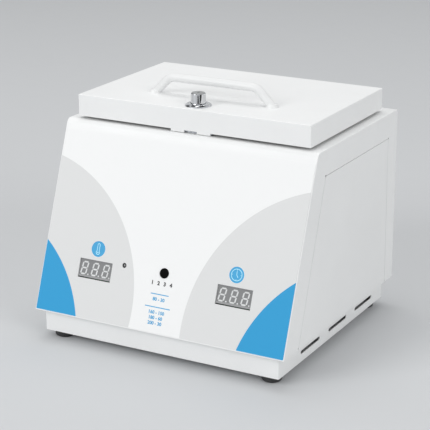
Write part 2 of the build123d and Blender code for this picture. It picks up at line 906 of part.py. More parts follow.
# Displays: moulded blocks with windows sunk in their faces, and the clear segments that fill them
for name, side in (("temperature", -1), ("timer", 1)):
    face = front_spot(side * display_place, display_rise + display_lift, display_recess)
    with BuildPart() as display:
        with BuildSketch(face):
            Rectangle(display_width, display_height)
        extrude(amount=-display_depth)
        with BuildSketch(face):
            add(digit_windows.sketch)
        extrude(amount=-segment_depth, mode=Mode.SUBTRACT)
    display.part.label = f"{name}_display"
    export_step(display.part, f"parts/{name}_display.step")

    with BuildPart() as segments:
        with BuildSketch(face):
            add(digit_windows.sketch)
        extrude(amount=-segment_depth)
    segments.part.label = f"{name}_segments"
    export_step(segments.part, f"parts/{name}_segments.step")

# Status lamp: a small domed lamp standing on the control board
with BuildPart() as status_lamp:
    with BuildSketch(front_spot(lamp_place, lamp_rise, board_front)):
        Circle(lamp_radius)
    extrude(amount=board_front - lamp_recess)
    fillet(status_lamp.edges().filter_by(GeomType.CIRCLE).sort_by(front_axis)[-1], lamp_dome)
    with BuildSketch(front_spot(lamp_place, lamp_rise, board_front)):
        Circle(lamp_flange)
    extrude(amount=lamp_flange_height)
status_lamp.part.label = "status_lamp"
export_step(status_lamp.part, "parts/status_lamp.step")

# Control board behind the front, and the standoffs that hold it
with BuildPart() as control_board:
    with BuildSketch(front_spot(0, display_rise, board_front)):
        Rectangle(control_board_width, control_board_height)
    extrude(amount=-board)
control_board.part.label = "control_board"
export_step(control_board.part, "parts/control_board.step")

with BuildPart() as control_board_standoffs:
    with BuildSketch(front_spot(0, display_rise, board_front)):
        with Locations(*control_standoffs):
            Circle(standoff_radius)
    extrude(amount=board_front - sheet)
control_board_standoffs.part.label = "control_board_standoffs"
export_step(control_board_standoffs.part, "parts/control_board_standoffs.step")

# Push switch on the control board, under the program button
with BuildPart() as button_switch:
    with BuildSketch(front_spot(0, button_rise, board_front)):
        Rectangle(push_switch_width, push_switch_width)
    extrude(amount=push_switch_height)
    with BuildSketch(front_spot(0, button_rise, board_front)):
        Circle(plunger_radius)
    extrude(amount=board_front - button_stem - button_travel - button_clearance)
button_switch.part.label = "button_switch"
export_step(button_switch.part, "parts/button_switch.step")

# Program button: a round cap held behind the panel by its flange
with BuildPart() as program_button:
    with BuildSketch(front_spot(0, button_rise, button_stem)):
        Circle(button_radius)
    extrude(amount=button_stem + button_stand)
    fillet(program_button.edges().filter_by(GeomType.CIRCLE).sort_by(front_axis)[-1], button_edge)
    with BuildSketch(front_spot(0, button_rise, sheet + button_clearance)):
        Circle(button_flange)
    extrude(amount=-button_flange_height)
program_button.part.label = "program_button"
export_step(program_button.part, "parts/program_button.step")

# Power board low in the base, on its standoffs
with BuildPart() as power_board_standoffs:
    with BuildSketch(Plane(origin=(0, power_board_place, tray_floor))):
        with Locations(*power_standoffs):
            Circle(standoff_radius)
    extrude(amount=power_board_rise)
power_board_standoffs.part.label = "power_board_standoffs"
export_step(power_board_standoffs.part, "parts/power_board_standoffs.step")

with BuildPart() as power_board:
    with BuildSketch(Plane(origin=(0, power_board_place, power_board_bottom))):
        Rectangle(power_board_width, power_board_depth)
    extrude(amount=board)
power_board.part.label = "power_board"
export_step(power_board.part, "parts/power_board.step")

# Transformer: a coil standing in an iron core
with BuildPart() as transformer:
    with BuildSketch(Plane(origin=(transformer_place, power_board_place, power_board_top))):
        Rectangle(coil_width, transformer_depth)
    extrude(amount=transformer_height - coil_drop)
    with BuildSketch(Plane(origin=(transformer_place, power_board_place, power_board_top + core_lift))):
        Rectangle(core_width, core_depth)
    extrude(amount=transformer_height - core_lift)
transformer.part.label = "transformer"
export_step(transformer.part, "parts/transformer.step")

with BuildPart() as relay:
    with BuildSketch(Plane(origin=(relay_place, power_board_place, power_board_top))):
        Rectangle(relay_width, relay_depth)
    extrude(amount=relay_height)
    chamfer(relay.edges().group_by(Axis.Z)[-1], relay_edge)
relay.part.label = "relay"
export_step(relay.part, "parts/relay.step")

# Terminal block along the board's right side, with a row of sunk screws
with BuildPart() as terminal_block:
    with BuildSketch(Plane(origin=(terminal_place, power_board_place, power_board_top))):
        Rectangle(terminal_depth, terminal_width)
    extrude(amount=terminal_height)
    terminal_face = Plane(origin=(terminal_place, power_board_place, power_board_top + terminal_height))
    with BuildSketch(terminal_face):
        with GridLocations(0, terminal_pitch, 1, terminal_ways):
            Circle(terminal_screw)
    extrude(amount=-terminal_screw_depth, mode=Mode.SUBTRACT)
terminal_block.part.label = "terminal_block"
export_step(terminal_block.part, "parts/terminal_block.step")

# Mains inlet: a moulded body with a socket for a lead above and a fuse drawer below
blades_at = [
    (-blade_spread / 2, -blade_drop),
    (blade_spread / 2, -blade_drop),
    (0, blade_drop),
]
with BuildPart() as mains_inlet:
    with BuildSketch(rear_spot(inlet_place, inlet_rise)):
        RectangleRounded(inlet_width, inlet_height, inlet_corner)
    extrude(amount=inlet_flange)
    with BuildSketch(rear_spot(inlet_place, inlet_rise)):
        Rectangle(inlet_body_width, inlet_body_height)
    extrude(amount=-inlet_body_depth)
    with BuildSketch(rear_spot(inlet_place, inlet_rise + socket_lift, -inlet_flange)) as socket:
        Rectangle(socket_width, socket_height)
        chamfer(socket.vertices().group_by(Axis.Y)[-1], socket_chamfer)
    extrude(amount=-socket_depth, mode=Mode.SUBTRACT)
    with BuildSketch(rear_spot(inlet_place, inlet_rise - drawer_drop, -inlet_flange)):
        Rectangle(drawer_width + 2 * slide_play, drawer_height + 2 * slide_play)
    extrude(amount=-drawer_depth - slide_play, mode=Mode.SUBTRACT)
    with BuildSketch(rear_spot(inlet_place, inlet_rise + socket_lift, inlet_body_depth)):
        with Locations(*blades_at):
            Rectangle(blade_width, blade_height)
    extrude(amount=inlet_body_depth + inlet_flange - socket_depth, mode=Mode.SUBTRACT)
mains_inlet.part.label = "mains_inlet"
export_step(mains_inlet.part, "parts/mains_inlet.step")

with BuildPart() as inlet_contacts:
    with BuildSketch(rear_spot(inlet_place, inlet_rise + socket_lift, inlet_body_depth + blade_tail)):
        with Locations(*blades_at):
            Rectangle(blade_width, blade_height)
    extrude(amount=blade_tail + inlet_body_depth + inlet_flange - socket_depth + blade_reach)
inlet_contacts.part.label = "inlet_contacts"
export_step(inlet_contacts.part, "parts/inlet_contacts.step")

with BuildPart() as fuse_drawer:
    with BuildSketch(rear_spot(inlet_place, inlet_rise - drawer_drop, -inlet_flange)):
        Rectangle(drawer_width, drawer_height)
    extrude(amount=-drawer_depth)
    with BuildSketch(rear_spot(inlet_place, inlet_rise - drawer_drop - drawer_height / 2, -inlet_flange)):
        Rectangle(drawer_pull_width, 2 * drawer_pull_height)
    extrude(amount=-drawer_pull_depth, mode=Mode.SUBTRACT)
fuse_drawer.part.label = "fuse_drawer"
export_step(fuse_drawer.part, "parts/fuse_drawer.step")

# Power switch: a frame snapped into the rear wall, its contacts and the rocker on its trunnions
room_depth = switch_bezel + rocker_pivot_depth + rocker_hub + rocker_room_clearance
trunnion_span = rocker_width + 2 * trunnion_reach
rocker_plane = Plane(origin=(switch_place, pivot_y, pivot_z), x_dir=(0, 0, 1), z_dir=(1, 0, 0))
tilted_plane = Plane(
    origin=rocker_plane.origin,
    x_dir=(0, sin(radians(rocker_tilt)), cos(radians(rocker_tilt))),
    z_dir=rocker_plane.z_dir,
)
with BuildPart() as switch_frame:
    with BuildSketch(rear_spot(switch_place, switch_rise)):
        RectangleRounded(switch_bezel_width, switch_bezel_height, switch_corner)
    extrude(amount=switch_bezel)
    with BuildSketch(rear_spot(switch_place, switch_rise)):
        Rectangle(switch_body_width, switch_body_height)
    extrude(amount=-switch_body_depth)
    with BuildSketch(rear_spot(switch_place, switch_rise, -switch_bezel)):
        Rectangle(rocker_room_width, rocker_room_length)
    extrude(amount=-room_depth, mode=Mode.SUBTRACT)
    with BuildSketch(rocker_plane):
        Circle(trunnion + trunnion_play)
    extrude(amount=trunnion_span / 2 + slide_play, both=True, mode=Mode.SUBTRACT)
switch_frame.part.label = "switch_frame"
export_step(switch_frame.part, "parts/switch_frame.step")

with BuildPart() as switch_contacts:
    with BuildSketch(rear_spot(switch_place, switch_rise, switch_body_depth)):
        with GridLocations(contact_pitch, contact_pitch, 2, 2):
            Rectangle(contact_sheet, contact_width)
    extrude(amount=-contact_reach)
switch_contacts.part.label = "switch_contacts"
export_step(switch_contacts.part, "parts/switch_contacts.step")

with BuildPart() as power_rocker:
    with BuildSketch(tilted_plane):
        with BuildLine():
            Polyline(
                (-rocker_hub, 0),
                (-rocker_length / 2, -rocker_side),
                (-rocker_length / 2, -rocker_end),
                (0, -rocker_valley),
                (rocker_length / 2, -rocker_end),
                (rocker_length / 2, -rocker_side),
                (rocker_hub, 0),
            )
            ThreePointArc((rocker_hub, 0), (0, rocker_hub), (-rocker_hub, 0))
        make_face()
    extrude(amount=rocker_width / 2, both=True)
    with BuildSketch(rocker_plane):
        Circle(trunnion)
    extrude(amount=trunnion_span / 2, both=True)
power_rocker.part.label = "power_rocker"
export_step(power_rocker.part, "parts/power_rocker.step")


def countersunk_screws(plane, places, length):
    # Flat headed screws, their heads flush with a plane
    with BuildPart() as screws:
        with BuildSketch(plane):
            with Locations(*places):
                Circle(screw_head)
        extrude(amount=screw_shank - screw_head, taper=45)
        with BuildSketch(plane):
            with Locations(*places):
                Circle(screw_shank)
        extrude(amount=-length)
    return screws.part


# Screws of the keeper and of the hinges' two leaves
screw_groups = {
    "keeper_screws": (
        Plane.XY.offset(shell_top + keeper_sheet),
        keeper_screws_at,
        keeper_sheet + sheet + screw_reach,
    ),
    "hinge_fixed_screws": (
        Plane.XY.offset(shell_top + hinge_leaf),
        fixed_hinge_screws,
        hinge_leaf + sheet + screw_reach,
    ),
    "hinge_lid_screws": (
        Plane(origin=(0, lid_rear + hinge_leaf, 0), x_dir=(-1, 0, 0), z_dir=(0, 1, 0)),
        [(-x, z) for x, z in lid_hinge_screws],
        hinge_leaf + sheet + screw_reach,
    ),
}
for name, (plane, places, length) in screw_groups.items():
    screws = countersunk_screws(plane, places, length)
    screws.label = name
    export_step(screws, f"parts/{name}.step")

# Keeper: a bent plate on the cabinet's top with a window for the lock's tongue
with BuildPart() as latch_keeper:
    with BuildSketch(Plane.XY.offset(shell_top)):
        with Locations((0, keeper_front_y)):
            Rectangle(keeper_width, keeper_depth, align=(Align.CENTER, Align.MIN))
    extrude(amount=keeper_sheet)
    with BuildSketch(facing_front(keeper_rear_y)):
        with Locations((0, shell_top)):
            Rectangle(keeper_tower, keeper_tower_height, align=(Align.CENTER, Align.MIN))
        with Locations((0, (bolt_bottom + bolt_top) / 2)):
            Rectangle(keeper_window_width, tongue_height + 2 * tongue_play, mode=Mode.SUBTRACT)
    extrude(amount=keeper_sheet)
    with Locations(*[(x, y, shell_top + keeper_sheet) for x, y in keeper_screws_at]):
        CounterSinkHole(screw_hole, screw_head + screw_seat_play, keeper_sheet, 90)
latch_keeper.part.label = "latch_keeper"
export_step(latch_keeper.part, "parts/latch_keeper.step")

# Lid cover: a folded pan, open below, with two small tabs under its front wall
with BuildPart() as lid_cover:
    with BuildSketch(Plane.XY.offset(lid_bottom)):
        with Locations((0, lid_y)):
            Rectangle(lid_width, lid_depth)
    extrude(amount=lid_height)
    fillet(lid_cover.edges().filter_by(lambda edge: edge.center().Z > lid_bottom + lid_edge), lid_edge)
    with BuildSketch(Plane.XY.offset(lid_bottom)):
        with Locations((0, lid_y)):
            Rectangle(lid_width - 2 * sheet, lid_depth - 2 * sheet)
    extrude(amount=lid_height - sheet, mode=Mode.SUBTRACT)
    with BuildSketch(facing_front(lid_front)):
        for side in (-1, 1):
            with Locations((side * (tab_notch + tab_width) / 2, shell_top + tab_clearance)):
                Rectangle(tab_width, lid_gap - tab_clearance + sheet, align=(Align.CENTER, Align.MIN))
    extrude(amount=-sheet)
    with BuildSketch(Plane.XY.offset(lid_ceiling)):
        with Locations((0, lock_y)):
            Circle(rosette_neck + cutout_play)
        with Locations(*handle_feet):
            Circle(handle_screw_radius + cutout_play)
    extrude(amount=sheet, mode=Mode.SUBTRACT)
    with BuildSketch(facing_front(lid_rear)):
        with Locations(*lid_hinge_screws):
            Circle(screw_hole)
    extrude(amount=sheet, mode=Mode.SUBTRACT)
lid_cover.part.label = "lid_cover"
export_step(lid_cover.part, "parts/lid_cover.step")

# Lid liner: an inner pan with upturned edges and a shallow plug over the chamber
liner_width = lid_width - 2 * sheet - 2 * liner_clearance
liner_depth = lid_depth - 2 * sheet - 2 * liner_clearance
plug_width = chamber_width - 2 * plug_clearance
plug_length = chamber_length - 2 * plug_clearance
plug_corner = chamber_corner - plug_clearance
with BuildPart() as lid_liner:
    with BuildSketch(Plane.XY.offset(lid_bottom)):
        with Locations((0, lid_y)):
            Rectangle(liner_width, liner_depth)
    extrude(amount=liner_flange)
    with BuildSketch(Plane.XY.offset(lid_bottom + liner_sheet)):
        with Locations((0, lid_y)):
            Rectangle(liner_width - 2 * liner_sheet, liner_depth - 2 * liner_sheet)
    extrude(amount=liner_flange - liner_sheet, mode=Mode.SUBTRACT)
    with BuildSketch(Plane.XY.offset(lid_bottom - plug_depth)):
        with Locations((0, chamber_y)):
            RectangleRounded(plug_width, plug_length, plug_corner)
    extrude(amount=plug_depth)
    with BuildSketch(Plane.XY.offset(lid_bottom - plug_depth + liner_sheet)):
        with Locations((0, chamber_y)):
            RectangleRounded(
                plug_width - 2 * liner_sheet, plug_length - 2 * liner_sheet, plug_corner - liner_sheet
            )
    extrude(amount=plug_depth, mode=Mode.SUBTRACT)
    with BuildSketch(Plane.XY.offset(lid_bottom)):
        with Locations((0, lid_front)):
            Rectangle(
                case_width + 2 * liner_clearance,
                case_rear_y - lid_front + liner_clearance,
                align=(Align.CENTER, Align.MIN),
            )
    extrude(amount=liner_flange, mode=Mode.SUBTRACT)
lid_liner.part.label = "lid_liner"
export_step(lid_liner.part, "parts/lid_liner.step")

# Lid insulation, from behind the lock to the rear, with room for the handle's screws
lid_wool_front = case_rear_y + liner_clearance
lid_wool_rear = lid_rear - lid_wool_margin
with BuildPart() as lid_insulation:
    with BuildSketch(Plane.XY.offset(lid_bottom + liner_sheet)):
        with Locations((0, lid_wool_front)):
            Rectangle(
                lid_width - 2 * lid_wool_margin,
                lid_wool_rear - lid_wool_front,
                align=(Align.CENTER, Align.MIN),
            )
    extrude(amount=lid_ceiling - lid_bottom - liner_sheet)
    with BuildSketch(Plane.XY.offset(lid_ceiling)):
        with Locations(*handle_feet):
            Circle(handle_screw_head + handle_screw_room)
    extrude(amount=-handle_screw_head_height - handle_screw_room, mode=Mode.SUBTRACT)
lid_insulation.part.label = "lid_insulation"
export_step(lid_insulation.part, "parts/lid_insulation.step")

# Handle: a bent bar on two flared feet
grip_z = handle_rise - handle_bar
root_x = handle_foot_spread / 2 + handle_root * (handle_foot_spread - handle_grip) / 2 / grip_z
with BuildPart() as handle:
    with BuildLine(facing_front(handle_y, lid_top)) as handle_path:
        FilletPolyline(
            (-root_x, -handle_root),
            (-handle_grip / 2, grip_z),
            (handle_grip / 2, grip_z),
            (root_x, -handle_root),
            radius=handle_bend,
        )
    with BuildSketch(Plane(origin=handle_path.line @ 0, z_dir=handle_path.line % 0)):
        Circle(handle_bar)
    sweep()
    for x, y in handle_feet:
        with BuildSketch(Plane(origin=(x, y, lid_top), x_dir=(1, 0, 0), z_dir=(0, -1, 0))):
            Polygon(
                (0, 0),
                (handle_pad_radius, 0),
                (handle_pad_top_radius, handle_pad_height),
                (0, handle_pad_height),
                align=None,
            )
        revolve(axis=Axis((x, y, lid_top), (0, 0, 1)))
    split(bisect_by=Plane.XY.offset(lid_top), keep=Keep.TOP)
    with BuildSketch(Plane.XY.offset(lid_top)):
        with Locations(*handle_feet):
            Circle(handle_screw_radius + thread_play)
    extrude(amount=handle_screw_reach + slide_play, mode=Mode.SUBTRACT)
handle.part.label = "handle"
export_step(handle.part, "parts/handle.step")

with BuildPart() as handle_screws:
    with BuildSketch(Plane.XY.offset(lid_ceiling)):
        with Locations(*handle_feet):
            Circle(handle_screw_head)
    extrude(amount=-handle_screw_head_height)
    with BuildSketch(Plane.XY.offset(lid_ceiling)):
        with Locations(*handle_feet):
            Circle(handle_screw_radius)
    extrude(amount=sheet + handle_screw_reach)
handle_screws.part.label = "handle_screws"
export_step(handle_screws.part, "parts/handle_screws.step")

# Lock rosette: a domed ring with a neck through the lid, which guides the knob
lock_axis = Axis((0, lock_y, lid_top), (0, 0, 1))
with BuildPart() as lock_rosette:
    with BuildSketch(facing_front(lock_y, lid_top)):
        with BuildLine():
            Polyline(
                (rosette_bore + rosette_lip, rosette_height),
                (rosette_bore, rosette_height),
                (rosette_bore, -sheet),
                (rosette_neck, -sheet),
                (rosette_neck, 0),
                (rosette_radius, 0),
                (rosette_radius, rosette_rim),
            )
            TangentArc(
                (rosette_bore + rosette_lip, rosette_height),
                (rosette_radius, rosette_rim),
                tangent=(1, 0),
            )
        make_face()
    revolve(axis=lock_axis)
lock_rosette.part.label = "lock_rosette"
export_step(lock_rosette.part, "parts/lock_rosette.step")

# Lock case: an open box under the lid that guides the bolt, with a slot for its tongue
case_depth = case_front + case_rear
with BuildPart() as lock_case:
    with BuildSketch(Plane.XY.offset(case_bottom)):
        with Locations((0, case_front_y)):
            Rectangle(case_width, case_depth, align=(Align.CENTER, Align.MIN))
    extrude(amount=lid_ceiling - case_bottom)
    with BuildSketch(Plane.XY.offset(case_floor_top)):
        with Locations((0, case_front_y + case_wall)):
            Rectangle(
                case_width - 2 * case_wall, case_depth - 2 * case_wall, align=(Align.CENTER, Align.MIN)
            )
    extrude(amount=lid_ceiling - case_floor_top, mode=Mode.SUBTRACT)
    with BuildSketch(facing_front(case_front_y)):
        with Locations((0, case_floor_top)):
            Rectangle(
                tongue_width + 2 * slide_play,
                tongue_height + slide_play + tongue_play,
                align=(Align.CENTER, Align.MIN),
            )
    extrude(amount=-case_wall, mode=Mode.SUBTRACT)
lock_case.part.label = "lock_case"
export_step(lock_case.part, "parts/lock_case.step")

# Lock knob: a hollow push knob, tapered a little, with a cross pin through its skirt
pin_plane = Plane(origin=(0, lock_y, pin_z), x_dir=(0, 1, 0), z_dir=(1, 0, 0))
with BuildPart() as lock_knob:
    with BuildSketch(facing_front(lock_y, lid_top)) as knob_profile:
        with BuildLine():
            Polyline(
                (0, knob_hollow_height - knob_skirt),
                (knob_hollow, knob_hollow_height - knob_skirt),
                (knob_hollow, -knob_skirt),
                (knob_radius, -knob_skirt),
                (knob_radius, 0),
                (knob_top_radius, knob_stand),
                (0, knob_stand),
                close=True,
            )
        make_face()
        fillet(knob_profile.vertices().sort_by_distance((knob_top_radius, knob_stand))[0], knob_edge)
    revolve(axis=lock_axis)
    with BuildSketch(pin_plane):
        Circle(cross_pin + thread_play)
    extrude(amount=2 * knob_radius, both=True, mode=Mode.SUBTRACT)
lock_knob.part.label = "lock_knob"
export_step(lock_knob.part, "parts/lock_knob.step")

with BuildPart() as lock_cross_pin:
    with BuildSketch(pin_plane):
        Circle(cross_pin)
    extrude(amount=cross_pin_span / 2, both=True)
lock_cross_pin.part.label = "lock_cross_pin"
export_step(lock_cross_pin.part, "parts/lock_cross_pin.step")

# Lock bolt: a tongue on a plate, with two cheeks whose inclined slots follow the cross pin
cheek_length = cheek_front + cheek_rear
tongue_length = case_front + tongue_stand - cheek_front + cheek
with BuildPart() as lock_bolt:
    with BuildSketch(Plane.XY.offset(bolt_bottom)):
        with Locations((0, lock_y - cheek_front)):
            Rectangle(cheek_span, cheek_length, align=(Align.CENTER, Align.MIN))
        with Locations((0, case_front_y - tongue_stand)):
            Rectangle(tongue_width, tongue_length, align=(Align.CENTER, Align.MIN))
    extrude(amount=tongue_height)
    with BuildSketch(Plane.XY.offset(bolt_top)):
        with Locations((0, lock_y - cheek_front)):
            Rectangle(cheek_span, cheek_length, align=(Align.CENTER, Align.MIN))
            Rectangle(
                cheek_span - 2 * cheek, cheek_length, align=(Align.CENTER, Align.MIN), mode=Mode.SUBTRACT
            )
    extrude(amount=lid_ceiling - cheek_clearance - bolt_top)
    with BuildSketch(Plane.YZ):
        with Locations((lock_y + bolt_travel / 2, pin_z - knob_travel / 2)):
            SlotCenterToCenter(
                hypot(bolt_travel, knob_travel),
                2 * (cross_pin + slot_play),
                rotation=-degrees(atan2(knob_travel, bolt_travel)),
            )
    extrude(amount=cheek_span / 2, both=True, mode=Mode.SUBTRACT)
lock_bolt.part.label = "lock_bolt"
export_step(lock_bolt.part, "parts/lock_bolt.step")

# Hinges: a leaf on the cabinet, a leaf on the lid's rear wall and the pin through their knuckles
notch = hinge_barrel + hinge_notch
for name, side in (("left", -1), ("right", 1)):
    hinge_x = side * hinge_place
    hinge_screws = [x for x in hinge_screw_xs if abs(x - hinge_x) < hinge_width / 2]
    with BuildPart() as fixed_leaf:
        with BuildSketch(Plane.YZ.offset(hinge_x)):
            with Locations((hinge_y, shell_top)):
                Rectangle(hinge_reach, hinge_leaf, align=(Align.MIN, Align.MIN))
            with Locations((hinge_y, hinge_z)):
                Circle(hinge_barrel)
                Circle(hinge_pin + hinge_play, mode=Mode.SUBTRACT)
        extrude(amount=hinge_width / 2, both=True)
        with BuildSketch(Plane.XY.offset(shell_top)):
            with Locations((hinge_x, hinge_y)):
                Rectangle(knuckle_width + 2 * knuckle_gap, 2 * notch)
        extrude(amount=hinge_clearance + 2 * hinge_barrel, mode=Mode.SUBTRACT)
        with Locations(*[(x, hinge_y + hinge_screw_place, shell_top + hinge_leaf) for x in hinge_screws]):
            CounterSinkHole(screw_hole, screw_head + screw_seat_play, hinge_leaf, 90)
    fixed_leaf.part.label = f"hinge_fixed_leaf_{name}"
    export_step(fixed_leaf.part, f"parts/hinge_fixed_leaf_{name}.step")

    with BuildPart() as lid_leaf:
        with BuildSketch(facing_front(lid_rear + hinge_leaf, hinge_z)):
            with Locations((hinge_x, 0)):
                Rectangle(hinge_width, hinge_reach, align=(Align.CENTER, Align.MIN))
                Rectangle(hinge_width, 2 * notch, mode=Mode.SUBTRACT)
                Rectangle(knuckle_width, hinge_reach, align=(Align.CENTER, Align.MIN))
        extrude(amount=hinge_leaf)
        with BuildSketch(Plane.YZ.offset(hinge_x)):
            with Locations((hinge_y, hinge_z)):
                Circle(hinge_barrel)
        extrude(amount=knuckle_width / 2, both=True)
        with BuildSketch(Plane.YZ.offset(hinge_x)):
            with Locations((hinge_y, hinge_z)):
                Circle(hinge_pin + hinge_play)
        extrude(amount=knuckle_width / 2, both=True, mode=Mode.SUBTRACT)
        leaf_holes = [
            Plane(origin=(x, lid_rear + hinge_leaf, hinge_z + hinge_screw_place), z_dir=(0, 1, 0))
            for x in hinge_screws
        ]
        with Locations(*leaf_holes):
            CounterSinkHole(screw_hole, screw_head + screw_seat_play, hinge_leaf, 90)
    lid_leaf.part.label = f"hinge_lid_leaf_{name}"
    export_step(lid_leaf.part, f"parts/hinge_lid_leaf_{name}.step")

    with BuildPart() as pin:
        with BuildSketch(Plane.YZ.offset(hinge_x)):
            with Locations((hinge_y, hinge_z)):
                Circle(hinge_pin)
        extrude(amount=hinge_width / 2 + hinge_pin_edge, both=True)
        chamfer(pin.edges().filter_by(GeomType.CIRCLE), hinge_pin_edge)
    pin.part.label = f"hinge_pin_{name}"
    export_step(pin.part, f"parts/hinge_pin_{name}.step")
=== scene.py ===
import math
import bmesh
import bpy
from mathutils import Euler, Matrix, Vector


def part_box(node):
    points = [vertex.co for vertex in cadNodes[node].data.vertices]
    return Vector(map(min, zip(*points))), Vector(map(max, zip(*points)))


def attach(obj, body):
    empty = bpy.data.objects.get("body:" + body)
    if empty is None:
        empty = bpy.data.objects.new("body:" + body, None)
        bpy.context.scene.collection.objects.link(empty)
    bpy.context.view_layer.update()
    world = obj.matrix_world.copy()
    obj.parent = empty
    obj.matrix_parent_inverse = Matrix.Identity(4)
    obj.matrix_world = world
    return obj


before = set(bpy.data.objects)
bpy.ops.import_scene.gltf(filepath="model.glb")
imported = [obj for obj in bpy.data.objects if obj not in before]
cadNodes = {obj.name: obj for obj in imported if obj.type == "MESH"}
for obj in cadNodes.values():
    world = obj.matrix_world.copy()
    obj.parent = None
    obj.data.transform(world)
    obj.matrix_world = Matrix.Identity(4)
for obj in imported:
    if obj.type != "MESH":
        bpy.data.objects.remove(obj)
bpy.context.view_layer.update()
print("frame loaded:", len(cadNodes), "nodes")

mm = 0.001
# Points closer together than this, in metres, are taken as one
weldReach = 1e-7


# Colours are written as they look on a screen, 0 to 255, and turned linear here
def tint(red, green, blue):
    parts = [value / 255 for value in (red, green, blue)]
    return tuple(v / 12.92 if v <= 0.04045 else ((v + 0.055) / 1.055) ** 2.4 for v in parts) + (1.0,)


# The leaning front: its own axes, across the panel, up its slope and out of it, in millimetres
panel = {
    "foot": (0.0, -132.5, 30.5),
    "rise": 184.0,
    "setBack": 68.0,
    "faceLift": 0.4,
}
lean = math.atan2(panel["setBack"], panel["rise"])


def panelPlace(across, up, lift=0.0):
    base = Matrix.Translation(Vector(panel["foot"]) * mm)
    tilt = Matrix.Rotation(math.pi / 2 - lean, 4, "X")
    spot = Matrix.Translation(Vector((across, up, panel["faceLift"] + lift)) * mm)
    return base @ tilt @ spot @ Matrix.Scale(mm, 4)


# Small helpers for node materials
def startFinish(name, sockets):
    material = bpy.data.materials.new(name)
    material.use_nodes = True
    tree = material.node_tree
    tree.nodes.clear()
    output = tree.nodes.new("ShaderNodeOutputMaterial")
    shader = tree.nodes.new("ShaderNodeBsdfPrincipled")
    tree.links.new(shader.outputs["BSDF"], output.inputs["Surface"])
    for socket, value in sockets.items():
        shader.inputs[socket].default_value = value
    return material, tree, shader


def placePattern(tree, stretch=(1, 1, 1), turn=(0, 0, 0), shift=(0, 0, 0)):
    coords = tree.nodes.new("ShaderNodeTexCoord")
    mapping = tree.nodes.new("ShaderNodeMapping")
    mapping.inputs["Location"].default_value = shift
    mapping.inputs["Rotation"].default_value = turn
    mapping.inputs["Scale"].default_value = stretch
    tree.links.new(coords.outputs["Object"], mapping.inputs["Vector"])
    return mapping.outputs["Vector"]


def placeOnPanel(tree):
    # The panel's own axes in millimetres: across, up its slope and out of it
    turn = lean - math.pi / 2
    foot = Matrix.Rotation(turn, 3, "X") @ Vector(panel["foot"])
    return placePattern(tree, (1 / mm, 1 / mm, 1 / mm), (turn, 0, 0), -foot)


def splitPlace(tree, place):
    parts = tree.nodes.new("ShaderNodeSeparateXYZ")
    tree.links.new(place, parts.inputs["Vector"])
    return parts.outputs


def addNoise(tree, place, scale, detail=3.0, rough=0.5):
    noise = tree.nodes.new("ShaderNodeTexNoise")
    noise.inputs["Scale"].default_value = scale
    noise.inputs["Detail"].default_value = detail
    noise.inputs["Roughness"].default_value = rough
    tree.links.new(place, noise.inputs["Vector"])
    return noise.outputs["Fac"]


def addCells(tree, place, scale):
    cells = tree.nodes.new("ShaderNodeTexVoronoi")
    cells.inputs["Scale"].default_value = scale
    tree.links.new(place, cells.inputs["Vector"])
    return cells


def addRange(tree, value, fromLow, fromHigh, toLow, toHigh):
    spread = tree.nodes.new("ShaderNodeMapRange")
    limits = {"From Min": fromLow, "From Max": fromHigh, "To Min": toLow, "To Max": toHigh}
    for socket, number in limits.items():
        spread.inputs[socket].default_value = number
    tree.links.new(value, spread.inputs["Value"])
    return spread.outputs["Result"]


def addTones(tree, value, dark, light, low=0.3, high=0.7):
    # Goes from a dark to a light tone while the value goes from low to high
    ramp = tree.nodes.new("ShaderNodeValToRGB")
    first, last = ramp.color_ramp.elements
    first.position, first.color = low, dark
    last.position, last.color = high, light
    tree.links.new(value, ramp.inputs["Fac"])
    return ramp.outputs["Color"]


def addMaths(tree, operation, *values):
    sums = tree.nodes.new("ShaderNodeMath")
    sums.operation = operation
    for place, value in enumerate(values):
        tree.links.new(value, sums.inputs[place])
    return sums.outputs["Value"]


def mixColours(tree, share, below, above):
    # Lays one colour over another, each a tint or another node's output
    mix = tree.nodes.new("ShaderNodeMix")
    mix.data_type = "RGBA"
    sockets = [socket for socket in mix.inputs if socket.type == "RGBA"]
    for socket, colour in zip(sockets, (below, above)):
        if isinstance(colour, tuple):
            socket.default_value = colour
        else:
            tree.links.new(colour, socket)
    tree.links.new(share, mix.inputs["Factor"])
    return [socket for socket in mix.outputs if socket.type == "RGBA"][0]


def setColour(tree, shader, colour):
    tree.links.new(colour, shader.inputs["Base Color"])


def varyShine(tree, shader, value, shine, low=0.3, high=0.7):
    tree.links.new(addRange(tree, value, low, high, *shine), shader.inputs["Roughness"])


def addBump(tree, shader, height, strength, distance, below=None):
    bump = tree.nodes.new("ShaderNodeBump")
    bump.inputs["Strength"].default_value = strength
    bump.inputs["Distance"].default_value = distance
    tree.links.new(height, bump.inputs["Height"])
    if below is not None:
        tree.links.new(below, bump.inputs["Normal"])
    tree.links.new(bump.outputs["Normal"], shader.inputs["Normal"])
    return bump.outputs["Normal"]


# Powder coat: a soft orange peel about a millimetre across, with a finer grain over it
powderCoat = {
    "gloss": 0.42,
    "clouds": (9.0, 4.0, 0.55),
    "peel": (620.0, 2.0, 0.4),
    "peelBump": (0.10, 0.0004),
    "grain": (2600.0, 1.0, 0.5),
    "grainBump": (0.05, 0.0001),
    "shine": (0.34, 0.46),
    "shineSpan": (0.35, 0.65),
    "outerFace": 0.1391,
    "faceBlend": 0.00004,
}


def startCoat(name, dark, light):
    material, tree, shader = startFinish(name, {"Specular IOR Level": powderCoat["gloss"]})
    place = placePattern(tree)
    painted = addTones(tree, addNoise(tree, place, *powderCoat["clouds"]), dark, light)
    peel = addNoise(tree, place, *powderCoat["peel"])
    return material, tree, shader, place, painted, peel


